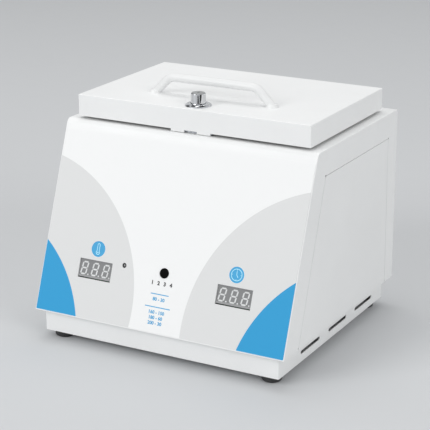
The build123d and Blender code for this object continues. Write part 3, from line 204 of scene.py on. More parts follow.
def paintFinish(name, dark, light, shine=powderCoat["shine"]):
    material, tree, shader, place, painted, peel = startCoat(name, dark, light)
    setColour(tree, shader, painted)
    varyShine(tree, shader, peel, shine, *powderCoat["shineSpan"])
    soft = addBump(tree, shader, peel, *powderCoat["peelBump"])
    grain = addNoise(tree, place, *powderCoat["grain"])
    addBump(tree, shader, grain, *powderCoat["grainBump"], soft)
    return material


def seamShadedPanelFinish(name, dark, light, seamShade):
    # Powder coat on the outer face, and painted shade on the rim that lies behind the seam: the rim is
    # coloured dark grey so that the seam reads shaded
    material, tree, shader, place, painted, peel = startCoat(name, dark, light)
    aside = addMaths(tree, "ABSOLUTE", splitPlace(tree, place)[0])
    face = powderCoat["outerFace"]
    skin = addRange(tree, aside, face - powderCoat["faceBlend"], face, 0.0, 1.0)
    setColour(tree, shader, mixColours(tree, skin, seamShade, painted))
    varyShine(tree, shader, peel, powderCoat["shine"], *powderCoat["shineSpan"])
    addBump(tree, shader, peel, *powderCoat["peelBump"])
    return material


# Drawn, brushed or turned metal: hair lines along one axis, with slow changes of tone
metal = {
    "hairs": (4.0, 0.6),
    "clouds": (22.0, 3.0, 0.5),
    "cloudShare": 0.35,
    "toneSpan": (0.36, 0.64),
    "lines": 900.0,
    "strength": 0.12,
    "bumpHeight": 0.0001,
}


def metalFinish(name, dark, light, stretch, shine, lines=metal["lines"], strength=metal["strength"]):
    material, tree, shader = startFinish(name, {"Metallic": 1.0})
    hair = addNoise(tree, placePattern(tree, stretch), lines, *metal["hairs"])
    cloud = addNoise(tree, placePattern(tree), *metal["clouds"])
    mix = tree.nodes.new("ShaderNodeMix")
    mix.inputs["Factor"].default_value = metal["cloudShare"]
    tree.links.new(hair, mix.inputs["A"])
    tree.links.new(cloud, mix.inputs["B"])
    setColour(tree, shader, addTones(tree, mix.outputs["Result"], dark, light, *metal["toneSpan"]))
    varyShine(tree, shader, hair, shine)
    addBump(tree, shader, hair, strength, metal["bumpHeight"])
    return material


# Zinc: small crystals of slightly different tone, with a fine grain
zincCoat = {
    "grain": (1400.0, 2.0),
    "grainBump": (0.06, 0.0001),
}


def spangleFinish(name, dark, light, size, shine):
    material, tree, shader = startFinish(name, {"Metallic": 1.0})
    place = placePattern(tree)
    crystals = tree.nodes.new("ShaderNodeSeparateColor")
    tree.links.new(addCells(tree, place, size).outputs["Color"], crystals.inputs["Color"])
    setColour(tree, shader, addTones(tree, crystals.outputs["Red"], dark, light, 0.0, 1.0))
    varyShine(tree, shader, crystals.outputs["Green"], shine, 0.0, 1.0)
    addBump(tree, shader, addNoise(tree, place, *zincCoat["grain"]), *zincCoat["grainBump"])
    return material


# Moulded plastic, rubber and ink: a fine grain on an even colour
moulding = {
    "spots": (3.0, 0.6),
    "clouds": (60.0, 2.0, 0.5),
    "toneSpan": (0.35, 0.65),
    "bumpHeight": 0.0001,
}


def plasticFinish(name, dark, light, shine, grain, strength, sockets=None):
    material, tree, shader = startFinish(name, sockets or {})
    place = placePattern(tree)
    spots = addNoise(tree, place, grain, *moulding["spots"])
    cloud = addNoise(tree, place, *moulding["clouds"])
    setColour(tree, shader, addTones(tree, cloud, dark, light, *moulding["toneSpan"]))
    varyShine(tree, shader, spots, shine)
    addBump(tree, shader, spots, strength, moulding["bumpHeight"])
    return material


# A display: a black moulded block whose face is printed grey, with a painted highlight as a paler strip along
# its lower edge
displayLook = {
    "face": tint(128, 129, 130),
    "highlightTone": tint(152, 153, 154),
    "body": tint(14, 14, 15),
    "faceSpan": (-0.92, -0.86),
    "highlightSpan": (43.3, 43.5),
    "gloss": 0.35,
    "grain": (1800.0, 3.0, 0.6),
    "grainBump": (0.06, 0.0001),
    "shine": (0.42, 0.56),
}


def displayFinish(name, look):
    material, tree, shader = startFinish(name, {"Specular IOR Level": look["gloss"]})
    _, up, out = splitPlace(tree, placeOnPanel(tree))
    # Painted highlight: a paler band along the lower edge of the face, where a chamfer would catch the light
    aboveHighlight = addRange(tree, up, *look["highlightSpan"], 0.0, 1.0)
    faceAndHighlight = addTones(tree, aboveHighlight, look["highlightTone"], look["face"], 0.0, 1.0)
    front = addRange(tree, out, *look["faceSpan"], 0.0, 1.0)
    setColour(tree, shader, mixColours(tree, front, look["body"], faceAndHighlight))
    grain = addNoise(tree, placePattern(tree), *look["grain"])
    varyShine(tree, shader, grain, look["shine"])
    addBump(tree, shader, grain, *look["grainBump"])
    return material


# Mineral wool: matted fibres in two sizes
woolLook = {
    "sockets": {"Roughness": 0.95, "Specular IOR Level": 0.2},
    "flattened": (1.0, 1.0, 6.0),
    "fibres": (260.0, 8.0, 0.7),
    "fibreBump": (0.6, 0.0006),
    "tufts": (70.0, 5.0, 0.6),
    "tuftBump": (0.5, 0.001),
}


def woolFinish(name, dark, light):
    material, tree, shader = startFinish(name, woolLook["sockets"])
    fibres = addNoise(tree, placePattern(tree, woolLook["flattened"]), *woolLook["fibres"])
    tufts = addNoise(tree, placePattern(tree), *woolLook["tufts"])
    setColour(tree, shader, addTones(tree, fibres, dark, light))
    matted = addBump(tree, shader, tufts, *woolLook["tuftBump"])
    addBump(tree, shader, fibres, *woolLook["fibreBump"], matted)
    return material


# Circuit board: solder mask over copper tracks, which show a shade lighter in blocks
boardLook = {
    "sockets": {"Roughness": 0.35, "Coat Weight": 0.4},
    "turn": -20.3,
    "tracks": 210.0,
    "trackEdge": (0.30, 0.34),
    "trackBump": (0.15, 0.0001),
}


def boardFinish(name, mask, copper):
    material, tree, shader = startFinish(name, boardLook["sockets"])
    alongBoard = placePattern(tree, turn=(math.radians(boardLook["turn"]), 0, 0))
    tracks = addCells(tree, alongBoard, boardLook["tracks"])
    tracks.distance = "MANHATTAN"
    tracks.feature = "F1"
    edge = addRange(tree, tracks.outputs["Distance"], *boardLook["trackEdge"], 0.0, 1.0)
    setColour(tree, shader, addTones(tree, edge, copper, mask, 0.0, 1.0))
    addBump(tree, shader, edge, *boardLook["trackBump"])
    return material


# A metal's three numbers stretch its hair lines, which run along the axis that has the small one
finishes = {
    "whiteCoat": paintFinish("whitePowderCoat", tint(236, 237, 237), tint(241, 242, 242)),
    # The side panels' rim behind the seam is painted dark grey, as painted shade in the seam
    "panelCoat": seamShadedPanelFinish("sidePanelCoat", tint(236, 237, 237), tint(241, 242, 242),
                                   tint(70, 71, 72)),
    # The handle's white is set a shade darker than the cabinet's, as painted shade on the curved bar that
    # faces the key lamp
    "handleCoat": paintFinish("handlePowderCoat", tint(226, 227, 227), tint(232, 233, 233), (0.30, 0.40)),
    "stainless": metalFinish("brushedStainless", tint(186, 186, 184), tint(214, 214, 212),
                             (0.03, 1, 1), (0.24, 0.38)),
    "stainlessTray": metalFinish("trayStainless", tint(178, 178, 177), tint(208, 208, 206),
                                 (1, 0.03, 1), (0.26, 0.40)),
    "hingeSteel": metalFinish("hingeStainless", tint(176, 177, 178), tint(206, 207, 207),
                              (0.05, 1, 1), (0.26, 0.4)),
    "probeSteel": metalFinish("turnedProbeSteel", tint(190, 190, 189), tint(220, 220, 218),
                              (1, 0.05, 1), (0.16, 0.28)),
    "heaterSheath": metalFinish("heaterSheath", tint(92, 84, 76), tint(132, 122, 112),
                                (0.2, 0.2, 1), (0.38, 0.55)),
    "zinc": spangleFinish("zincPlate", tint(166, 170, 176), tint(196, 199, 204), 420.0, (0.26, 0.42)),
    "galvanised": spangleFinish("galvanisedSheet", tint(150, 154, 158), tint(184, 187, 190),
                                120.0, (0.34, 0.52)),
    "brass": metalFinish("turnedBrass", tint(184, 146, 78), tint(216, 180, 108), (1, 1, 0.1), (0.22, 0.36)),
    "ironCore": metalFinish("laminatedCore", tint(70, 72, 78), tint(112, 114, 120),
                            (0.02, 0.02, 1), (0.4, 0.55), 700.0, 0.5),
    "chrome": metalFinish("polishedChrome", tint(205, 206, 208), tint(226, 227, 229),
                          (1, 1, 0.05), (0.04, 0.09), 600.0, 0.01),
    "satinChrome": metalFinish("satinLockFace", tint(160, 161, 161), tint(186, 187, 187),
                               (0.06, 1, 1), (0.34, 0.46), 1400.0, 0.1),
    "footRubber": plasticFinish("footRubber", tint(44, 44, 45), tint(58, 58, 59), (0.5, 0.7), 900.0, 0.3),
    "gasket": plasticFinish("siliconeGasket", tint(126, 124, 122), tint(142, 140, 137),
                            (0.5, 0.66), 1100.0, 0.15),
    "wool": woolFinish("mineralWool", tint(160, 150, 122), tint(212, 204, 178)),
    "boardGreen": boardFinish("greenBoard", tint(20, 84, 48), tint(44, 122, 70)),
    "displayFace": displayFinish("displayFace", displayLook),
    "segments": plasticFinish("segmentDiffuser", tint(204, 206, 206), tint(216, 218, 218),
                              (0.3, 0.45), 2200.0, 0.05),
    "lampLens": plasticFinish("smokedLens", tint(46, 46, 48), tint(62, 62, 64),
                              (0.06, 0.16), 700.0, 0.02, {"Coat Weight": 1.0}),
    "buttonBlack": plasticFinish("buttonPlastic", tint(3, 3, 3), tint(8, 8, 8),
                                 (0.7, 0.85), 2000.0, 0.12, {"Specular IOR Level": 0.08}),
    "fittingBlack": plasticFinish("fittingPlastic", tint(22, 22, 23), tint(32, 32, 33),
                                  (0.36, 0.54), 1500.0, 0.2),
    "rockerBlack": plasticFinish("rockerPlastic", tint(18, 18, 19), tint(26, 26, 27),
                                 (0.24, 0.36), 1900.0, 0.08),
    "phenolic": plasticFinish("phenolicResin", tint(44, 32, 24), tint(62, 46, 34), (0.4, 0.55), 1000.0, 0.2),
    "relayCase": plasticFinish("relayCase", tint(30, 66, 120), tint(38, 78, 138), (0.28, 0.4), 1200.0, 0.1),
    "terminal": plasticFinish("terminalPlastic", tint(40, 120, 72), tint(50, 134, 84),
                              (0.35, 0.5), 1200.0, 0.12),
    "slotDark": plasticFinish("recessShadow", tint(16, 16, 17), tint(24, 24, 25), (0.6, 0.8), 800.0, 0.1),
    "markWhite": plasticFinish("switchMarks", tint(222, 222, 222), tint(232, 232, 232),
                               (0.5, 0.6), 1500.0, 0.05),
    "inkBlue": plasticFinish("blueInk", tint(42, 156, 209), tint(46, 161, 213), (0.42, 0.52), 2400.0, 0.04),
    "inkPale": plasticFinish("paleInk", tint(160, 222, 246), tint(172, 230, 250), (0.42, 0.52), 2400.0, 0.04),
    "inkBlack": plasticFinish("blackInk", tint(20, 20, 22), tint(28, 28, 30), (0.42, 0.52), 2400.0, 0.04),
}
print("finishes made:", len(finishes))

# The printed front: white film with two grey fields and two blue ones, each a disc cut off by the film's edge
print("printing the front")
frontPrint = {
    "greyFields": [(-173.5, 17.7, 144.5), (185.6, 8.4, 158.1)],
    "blueFields": [(-221.3, -34.8, 134.8), (230.1, -40.9, 146.8)],
    "white": tint(240, 241, 241),
    "grey": tint(220, 221, 221),
    "blue": tint(42, 156, 210),
    "edgeSoftness": 0.12,
    "gloss": 0.25,
    "grain": (1700.0, 2.0, 0.5),
    "grainBump": (0.05, 0.0001),
    "shine": (0.40, 0.52),
}


def printedFilm(name, look):
    material, tree, shader = startFinish(name, {"Specular IOR Level": look["gloss"]})
    onPanel = placeOnPanel(tree)

    def fieldMask(across, up, reach):
        # One inside a field's disc and nought outside, whatever the depth
        flatten = tree.nodes.new("ShaderNodeVectorMath")
        flatten.operation = "MULTIPLY"
        flatten.inputs[1].default_value = (1, 1, 0)
        tree.links.new(onPanel, flatten.inputs[0])
        gap = tree.nodes.new("ShaderNodeVectorMath")
        gap.operation = "DISTANCE"
        gap.inputs[1].default_value = (across, up, 0)
        tree.links.new(flatten.outputs["Vector"], gap.inputs[0])
        soft = look["edgeSoftness"]
        return addRange(tree, gap.outputs["Value"], reach - soft, reach + soft, 1.0, 0.0)

    greyMask = addMaths(tree, "MAXIMUM", *[fieldMask(*field) for field in look["greyFields"]])
    blueMask = addMaths(tree, "MAXIMUM", *[fieldMask(*field) for field in look["blueFields"]])
    greyed = mixColours(tree, greyMask, look["white"], look["grey"])
    setColour(tree, shader, mixColours(tree, blueMask, greyed, look["blue"]))
    grain = addNoise(tree, placePattern(tree), *look["grain"])
    varyShine(tree, shader, grain, look["shine"])
    addBump(tree, shader, grain, *look["grainBump"])
    return material


finishes["printedFront"] = printedFilm("printedFront", frontPrint)

# Which finish each piece of the frame gets
nodeFinish = {
    "whiteCoat": ["outer_shell", "base_tray", "lid_cover"],
    "panelCoat": ["side_panel_left", "side_panel_right"],
    "handleCoat": ["handle"],
    "printedFront": ["front_overlay"],
    "footRubber": ["rubber_foot_front_left", "rubber_foot_front_right", "rubber_foot_rear_left",
                   "rubber_foot_rear_right"],
    "zinc": ["foot_screws", "keeper_screws", "handle_screws", "hinge_fixed_screws", "hinge_lid_screws",
             "hinge_pin_left", "hinge_pin_right", "lock_case", "lock_cross_pin", "lock_bolt", "latch_keeper",
             "heater_clamps"],
    "galvanised": ["insulation_jacket"],
    "stainless": ["chamber_tank", "lid_liner"],
    "stainlessTray": ["instrument_tray"],
    "hingeSteel": ["hinge_fixed_leaf_left", "hinge_fixed_leaf_right", "hinge_lid_leaf_left",
                   "hinge_lid_leaf_right"],
    "probeSteel": ["temperature_probe"],
    "heaterSheath": ["tubular_heater"],
    "brass": ["base_posts", "control_board_standoffs", "power_board_standoffs", "inlet_contacts",
              "switch_contacts"],
    "ironCore": ["transformer"],
    "gasket": ["chamber_gasket"],
    "wool": ["chamber_insulation", "lid_insulation"],
    "boardGreen": ["control_board", "power_board"],
    "displayFace": ["temperature_display", "timer_display"],
    "segments": ["temperature_segments", "timer_segments"],
    "lampLens": ["status_lamp"],
    "buttonBlack": ["program_button", "button_switch"],
    "fittingBlack": ["mains_inlet", "fuse_drawer", "switch_frame"],
    "rockerBlack": ["power_rocker"],
    "phenolic": ["thermal_cutout"],
    "relayCase": ["relay"],
    "terminal": ["terminal_block"],
    "chrome": ["lock_rosette", "lock_knob"],
}
for finish, names in nodeFinish.items():
    for name in names:
        cadNodes[name].data.materials.clear()
        cadNodes[name].data.materials.append(finishes[finish])
print("nodes dressed:", sum(len(names) for names in nodeFinish.values()))


def settleOrder(elements, place):
    # An extrusion leaves its points and faces in another order each run, and this puts them in one order
    for rank, element in enumerate(sorted(elements, key=place)):
        element.index = rank
    elements.sort()


# New pieces are drawn in millimetres and stood in their place by a matrix
def keepPiece(name, mesh, finish, body):
    made = bpy.data.meshes.new(name)
    bmesh.ops.remove_doubles(mesh, verts=mesh.verts, dist=weldReach)
    bmesh.ops.recalc_face_normals(mesh, faces=mesh.faces)
    settleOrder(mesh.verts, lambda vert: vert.co[:])
    settleOrder(mesh.faces, lambda face: face.calc_center_median()[:])
    mesh.to_mesh(made)
    mesh.free()
    made.materials.append(finishes[finish])
    piece = bpy.data.objects.new(name, made)
    bpy.context.scene.collection.objects.link(piece)
    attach(piece, body)
    return piece


def raisePlate(mesh, faces, corners, place, thickness):
    # Gives flat faces a thickness and stands the plate in its place
    raised = bmesh.ops.extrude_face_region(mesh, geom=faces, use_keep_orig=True)
    upper = [item for item in raised["geom"] if isinstance(item, bmesh.types.BMVert)]
    bmesh.ops.translate(mesh, verts=upper, vec=(0, 0, thickness))
    bmesh.ops.transform(mesh, matrix=place, verts=corners + upper)


def addPlate(mesh, outline, place, thickness):
    corners = [mesh.verts.new((x, y, 0)) for x, y in outline]
    raisePlate(mesh, [mesh.faces.new(corners)], corners, place, thickness)


def addDisc(mesh, radius, place, thickness, segments=64):
    corners = bmesh.ops.create_circle(mesh, cap_ends=True, segments=segments, radius=radius)["verts"]
    raisePlate(mesh, [corners[0].link_faces[0]], corners, place, thickness)


def addRing(mesh, outer, inner, place, thickness, segments=64):
    rims = [bmesh.ops.create_circle(mesh, segments=segments, radius=radius)["verts"]
            for radius in (outer, inner)]
    edges = list({edge for rim in rims for vert in rim for edge in vert.link_edges})
    faces = bmesh.ops.bridge_loops(mesh, edges=edges)["faces"]
    raisePlate(mesh, faces, rims[0] + rims[1], place, thickness)


def bar(length, width, x=0.0, y=0.0, turn=0.0):
    # Corner points of a bar, centred on x and y and turned by an angle
    spin = Matrix.Rotation(math.radians(turn), 2)
    a, b = length / 2, width / 2
    corners = [spin @ Vector(corner) for corner in ((-a, -b), (a, -b), (a, b), (-a, b))]
    return [(x + corner.x, y + corner.y) for corner in corners]


# Two round signs over the displays: a thermometer and a clock
print("signs and numbers on the front")
signs = {
    "places": {"thermometer": (-78.1, 71.2), "clock": (77.4, 71.3)},
    "disc": 7.9,
    "halo": (8.35, 7.88),
    "haloPlate": 0.03,
    "plate": 0.05,
}


def makeSign(name, shapes):
    across, up = signs["places"][name]
    halo = bmesh.new()
    addRing(halo, *signs["halo"], panelPlace(across, up), signs["haloPlate"])
    keepPiece(name + "Halo", halo, "markWhite", "cabinet")
    disc = bmesh.new()
    addDisc(disc, signs["disc"], panelPlace(across, up), signs["plate"])
    keepPiece(name + "Disc", disc, "inkBlue", "cabinet")
    level = signs["plate"]
    for suffix, finish, draw in shapes:
        mesh = bmesh.new()
        draw(mesh, panelPlace(across, up, level))
        keepPiece(name + suffix, mesh, finish, "cabinet")
        level += signs["plate"]


thermometer = {
    "bulb": (0.0, -3.5, 2.35),
    "stemTop": (4.2, 1.65),
    "wall": 0.85,
    "drop": 0.8,
    "bulbSteps": 28,
    "topSteps": 12,
    "dropSteps": 24,
}


def stemOnBulb(shrink=0.0):
    # Outline of a round-ended stem standing on a bulb, drawn in by the wall for the hollow
    x, y, bulb = thermometer["bulb"]
    top, stem = thermometer["stemTop"]
    bulb -= shrink
    stem -= shrink
    sweep = math.pi - math.asin(stem / bulb)
    bulbSteps, topSteps = thermometer["bulbSteps"], thermometer["topSteps"]
    around = [(2 * step / bulbSteps - 1) * sweep for step in range(bulbSteps + 1)]
    over = [step * math.pi / topSteps for step in range(topSteps + 1)]
    return ([(x + bulb * math.sin(turn), y - bulb * math.cos(turn)) for turn in around]
            + [(x + stem * math.cos(turn), top + stem * math.sin(turn)) for turn in over])


def drawBody(mesh, place):
    addPlate(mesh, stemOnBulb(), place, signs["plate"])


def drawHollow(mesh, place):
    addPlate(mesh, stemOnBulb(thermometer["wall"]), place, signs["plate"])


def drawDrop(mesh, place):
    x, y, _ = thermometer["bulb"]
    inBulb = place @ Matrix.Translation((x, y, 0))
    addDisc(mesh, thermometer["drop"], inBulb, signs["plate"], thermometer["dropSteps"])


clock = {
    "ring": (6.0, 5.25),
    "hands": [(3.5, 0.7, 92.0), (3.1, 0.7, -55.0)],
    "ticks": (1.1, 0.55),
}


def drawClock(mesh, place):
    addRing(mesh, *clock["ring"], place, signs["plate"])
    for length, width, degrees in clock["hands"]:
        turn = math.radians(degrees)
        middle = (length / 2 * math.cos(turn), length / 2 * math.sin(turn))
        addPlate(mesh, bar(length, width, *middle, degrees), place, signs["plate"])
    reach = clock["ring"][1] - clock["ticks"][0] / 2
    for degrees in (0, 90, 180, 270):
        turn = math.radians(degrees)
        middle = (reach * math.cos(turn), reach * math.sin(turn))
        addPlate(mesh, bar(*clock["ticks"], *middle, degrees), place, signs["plate"])


makeSign("thermometer", [("Body", "inkPale", drawBody), ("Hollow", "inkBlue", drawHollow),
                         ("Drop", "inkPale", drawDrop)])
makeSign("clock", [("Face", "inkPale", drawClock)])

# Plain numbers: the programs under the button, and a table of temperatures and minutes below them
numbers = {
    "programs": [("1   2   3   4", -1.0, 49.1)],
    "programSize": 5.2,
    "programWeight": 0.24,
    "table": [
        ("80 - 30", -1.5, 33.5),
        ("160 - 150", -1.8, 20.7),
        ("180 - 60", -1.9, 15.4),
        ("200 - 30", -1.8, 10.2),
    ],
    "tableSize": 4.6,
    "tableWeight": 0.16,
    "headings": [(20.0, 0.9, -1.2, 38.6), (28.0, 0.9, -1.4, 25.9)],
    "curveSteps": 3,
    "lift": 0.05,
    "plate": 0.05,
}


def numberPiece(name, rows, size, weight, finish):
    # Rows of plain numbers on the panel, each centred on its place
    gathered = bmesh.new()
    for words, across, up in rows:
        curve = bpy.data.curves.new(name + "Row", "FONT")
        curve.body = words
        curve.size = size
        curve.align_x = "CENTER"
        curve.align_y = "CENTER"
        curve.offset = weight
        curve.extrude = numbers["plate"] / 2
        curve.resolution_u = numbers["curveSteps"]
        row = bpy.data.objects.new(name + "Row", curve)
        bpy.context.scene.collection.objects.link(row)
        bpy.context.view_layer.update()
        flat = bpy.data.meshes.new_from_object(row.evaluated_get(bpy.context.evaluated_depsgraph_get()))
        flat.transform(panelPlace(across, up, numbers["lift"]))
        gathered.from_mesh(flat)
        bpy.data.objects.remove(row)
        bpy.data.curves.remove(curve)
        bpy.data.meshes.remove(flat)
    keepPiece(name, gathered, finish, "cabinet")


numberPiece("programNumbers", numbers["programs"], numbers["programSize"], numbers["programWeight"],
            "inkBlack")
numberPiece("programTable", numbers["table"], numbers["tableSize"], numbers["tableWeight"], "inkBlue")
headings = bmesh.new()
for length, width, across, up in numbers["headings"]:
    addPlate(headings, bar(length, width), panelPlace(across, up), numbers["plate"])
keepPiece("tableHeadings", headings, "inkBlue", "cabinet")

# The face of the push lock: a satin plug on top of the knob, with its keyway laid on as a dark plate of
# painted shade
print("lock face")
lockFace = {
    "centre": (0.0, -43.4),
    "top": 252.1,
    "plug": 6.6,
    "height": 0.3,
    "edge": 0.12,
    "edgeSteps": 2,
    "keyway": (4.6, 0.8),
    "keywayPlate": 0.03,
}
lockTop = Matrix.Translation(Vector((*lockFace["centre"], lockFace["top"])) * mm) @ Matrix.Scale(mm, 4)
plug = bmesh.new()
addDisc(plug, lockFace["plug"], lockTop, lockFace["height"])
halfway = (lockFace["top"] + lockFace["height"] / 2) * mm
upperEdges = [edge for edge in plug.edges if all(vert.co.z > halfway for vert in edge.verts)]
bmesh.ops.bevel(plug, geom=upperEdges, offset=lockFace["edge"] * mm, segments=lockFace["edgeSteps"],
                profile=0.5, affect="EDGES", material=-1)
keepPiece("lockPlug", plug, "satinChrome", "lock_knob")
keyway = bmesh.new()
plugTop = lockTop @ Matrix.Translation((0, 0, lockFace["height"]))
addPlate(keyway, bar(*lockFace["keyway"], turn=90), plugTop, lockFace["keywayPlate"])
keepPiece("lockKeyway", keyway, "slotDark", "lock_knob")

# Cross recesses of the screw heads that show, laid on as flat dark plates of painted shade, each turned
# another way
print("screw recesses")
screwHeads = {
    "arm": (2.6, 0.62),
    "plate": 0.03,
    "apart": 0.004,
    "fixedTurn": 0.6,
    "lidTurn": 0.3,
}


def crossOutline(length, width):
    a, b = length / 2, width / 2
    return [(-a, -b), (-b, -b), (-b, -a), (b, -a), (b, -b), (a, -b),
            (a, b), (b, b), (b, a), (-b, a), (-b, b), (-a, b)]


def addCrosses(name, body, places):
    mesh = bmesh.new()
    for place in places:
        addPlate(mesh, crossOutline(*screwHeads["arm"]), place @ Matrix.Scale(mm, 4), screwHeads["plate"])
    keepPiece(name, mesh, "slotDark", body)


def headCentres(node):
    # Middles of a node's screws, told apart by the gaps between them across the part
    points = sorted((vert.co.copy() for vert in cadNodes[node].data.vertices), key=lambda point: point.x)
    groups = [[points[0]]]
    for point in points[1:]:
        if point.x - groups[-1][-1].x > screwHeads["apart"]:
            groups.append([])
        groups[-1].append(point)
    print(node, "heads found:", len(groups))
    return [[(min(p[axis] for p in group) + max(p[axis] for p in group)) / 2 for axis in range(3)]
            for group in groups]


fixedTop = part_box("hinge_fixed_screws")[1].z
addCrosses("hingeFixedRecesses", "cabinet",
           [Matrix.Translation((x, y, fixedTop)) @ Matrix.Rotation(screwHeads["fixedTurn"] + step, 4, "Z")
            for step, (x, y, _) in enumerate(headCentres("hinge_fixed_screws"))])
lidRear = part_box("hinge_lid_screws")[1].y
addCrosses("hingeLidRecesses", "lid",
           [Matrix.Translation((x, lidRear, z)) @ Matrix.Rotation(-math.pi / 2, 4, "X")
            @ Matrix.Rotation(screwHeads["lidTurn"] + step, 4, "Z")
            for step, (x, _, z) in enumerate(headCentres("hinge_lid_screws"))])

# Marks on the power rocker: a bar on one half and a ring on the other
print("rocker marks")
rocker = {
    "pivot": (-48.0, 127.5, 64.5),
    "tilt": 9.0,
    "valley": 2.4,
    "end": (8.2, 3.7),
    "markAt": 4.9,
    "bar": (3.4, 0.75),
    "ring": (1.7, 1.1),
    "ringSteps": 40,
    "plate": 0.04,
}


def rockerPlace(side):
    # A plane on one half of the rocker's face, its own y running up
    run, rise = rocker["end"][0], rocker["end"][1] - rocker["valley"]
    slope = math.atan2(rise, run)
    out = rocker["valley"] + rise * rocker["markAt"] / run
    tilt = Matrix.Rotation(math.radians(-rocker["tilt"]), 4, "X")
    base = Matrix.Translation(Vector(rocker["pivot"]) * mm) @ tilt
    spot = Matrix.Translation(Vector((0, out, side * rocker["markAt"])) * mm)
    lay = spot @ Matrix.Rotation(-side * slope, 4, "X")
    outwards = Matrix.Rotation(math.pi, 4, "Z") @ Matrix.Rotation(math.pi / 2, 4, "X")
    return base @ lay @ outwards @ Matrix.Scale(mm, 4)


marks = bmesh.new()
addPlate(marks, bar(*rocker["bar"], turn=90), rockerPlace(1), rocker["plate"])
addRing(marks, *rocker["ring"], rockerPlace(-1), rocker["plate"], rocker["ringSteps"])
keepPiece("rockerMarks", marks, "markWhite", "power_rocker")

# Floor, flags, world and lamps
print("floor, light and camera")
studio = {
    "floor": tint(204, 206, 208),
    "floorReach": 20.0,
    "floorClouds": 30.0,
    "floorShine": (0.7, 0.8),
    "floorGloss": 0.2,
    "background": tint(206, 208, 210),
    "worldStrength": 0.50,
    "lamps": [
        ("keyLamp", (-1.45, -2.6, 1.6), 1.6, 41.0),
        ("topLamp", (-0.4, 0.6, 2.8), 1.8, 25.0),
        ("rightLamp", (2.5, -1.0, 1.5), 1.4, 24.0),
    ],
    "aim": (0.0, 0.0, 0.12),
    "flags": [
        ("lowFlag", (0.582, -1.082, 0.002), (0.7, 0.36), (0.0, 0.0, 29.3)),
        ("rightFlag", (1.15, -0.45, 0.75), (0.75, 1.5), (90.0, 0.0, 70.0)),
        ("leftFlag", (-1.1, 0.1, 0.7), (0.6, 1.4), (90.0, 0.0, -85.0)),
        ("topFlagLeft", (-0.50, 0.236, 1.35), (0.5, 0.9), (0.0, 0.0, 0.0)),
        ("topFlagRight", (0.16, 0.236, 1.35), (0.5, 0.9), (0.0, 0.0, 0.0)),
    ],
    "flagTone": tint(12, 12, 12),
}


def studioPiece(name, mesh, finish):
    made = bpy.data.meshes.new(name)
    mesh.to_mesh(made)
    mesh.free()
    made.materials.append(finish)
    piece = bpy.data.objects.new(name, made)
    bpy.context.scene.collection.objects.link(piece)
    return piece


floorFinish, floorTree, floorShader = startFinish("floorPaper", {"Specular IOR Level": studio["floorGloss"]})
floorShader.inputs["Base Color"].default_value = studio["floor"]
floorClouds = addNoise(floorTree, placePattern(floorTree), studio["floorClouds"])
varyShine(floorTree, floorShader, floorClouds, studio["floorShine"])
floorMesh = bmesh.new()
bmesh.ops.create_grid(floorMesh, x_segments=1, y_segments=1, size=studio["floorReach"])
floor = studioPiece("floor", floorMesh, floorFinish)

# Dark flags, as a photographer sets them: only reflections show them, so that the chrome gets its edges
flagFinish, _, flagShader = startFinish("flagCloth", {"Roughness": 0.95, "Specular IOR Level": 0.0})
flagShader.inputs["Base Color"].default_value = studio["flagTone"]
for name, place, (wide, high), turns in studio["flags"]:
    flagMesh = bmesh.new()
    bmesh.ops.create_grid(flagMesh, x_segments=1, y_segments=1, size=1.0)
    bmesh.ops.scale(flagMesh, vec=(wide / 2, high / 2, 1.0), verts=flagMesh.verts)
    turned = Euler([math.radians(turn) for turn in turns]).to_matrix().to_4x4()
    bmesh.ops.transform(flagMesh, matrix=Matrix.Translation(place) @ turned, verts=flagMesh.verts)
    flag = studioPiece(name, flagMesh, flagFinish)
    flag.visible_camera = False
    flag.visible_diffuse = False
    flag.visible_shadow = False

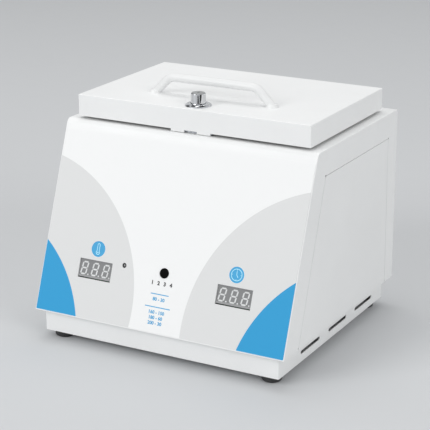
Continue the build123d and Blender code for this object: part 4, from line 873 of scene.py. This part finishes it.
# The world lights the part softly, and the camera and the reflections see the background instead
world = bpy.data.worlds.new("studio")
bpy.context.scene.world = world
world.use_nodes = True
worldTree = world.node_tree
worldTree.nodes.clear()
worldOut = worldTree.nodes.new("ShaderNodeOutputWorld")
soft = worldTree.nodes.new("ShaderNodeBackground")
soft.inputs["Color"].default_value = (1, 1, 1, 1)
soft.inputs["Strength"].default_value = studio["worldStrength"]
seen = worldTree.nodes.new("ShaderNodeBackground")
seen.inputs["Color"].default_value = studio["background"]
rays = worldTree.nodes.new("ShaderNodeLightPath").outputs
cameraOrGlossy = addMaths(worldTree, "MAXIMUM", rays["Is Camera Ray"], rays["Is Glossy Ray"])
seenRays = addMaths(worldTree, "MAXIMUM", cameraOrGlossy, rays["Is Transmission Ray"])
blend = worldTree.nodes.new("ShaderNodeMixShader")
worldTree.links.new(seenRays, blend.inputs["Fac"])
worldTree.links.new(soft.outputs["Background"], blend.inputs[1])
worldTree.links.new(seen.outputs["Background"], blend.inputs[2])
worldTree.links.new(blend.outputs["Shader"], worldOut.inputs["Surface"])

for name, place, size, power in studio["lamps"]:
    lampData = bpy.data.lights.new(name, "AREA")
    lampData.size = size
    lampData.energy = power
    lamp = bpy.data.objects.new(name, lampData)
    lamp.location = place
    lamp.rotation_euler = (Vector(place) - Vector(studio["aim"])).to_track_quat("Z", "Y").to_euler()
    bpy.context.scene.collection.objects.link(lamp)

# The camera at the photograph's viewing angle; its focal length is in pixels of an image 430 wide
camera = {
    "azimuth": 28.63,
    "elevation": 18.10,
    "distance": 1.5868,
    "target": (-0.0052, 0.0, 0.1134),
    "focal": 1543.3,
    "imageWidth": 430,
    "sensor": 36.0,
    "clip": (0.05, 60.0),
}
around = math.radians(camera["azimuth"])
above = math.radians(camera["elevation"])
back = Vector((math.sin(around) * math.cos(above), -math.cos(around) * math.cos(above), math.sin(above)))
cameraData = bpy.data.cameras.new("camera")
cameraData.sensor_width = camera["sensor"]
cameraData.lens = camera["focal"] * camera["sensor"] / camera["imageWidth"]
cameraData.clip_start, cameraData.clip_end = camera["clip"]
viewer = bpy.data.objects.new("camera", cameraData)
viewer.location = Vector(camera["target"]) + back * camera["distance"]
viewer.rotation_euler = back.to_track_quat("Z", "Y").to_euler()
bpy.context.scene.collection.objects.link(viewer)
bpy.context.scene.camera = viewer
bpy.context.scene.view_settings.view_transform = "Standard"
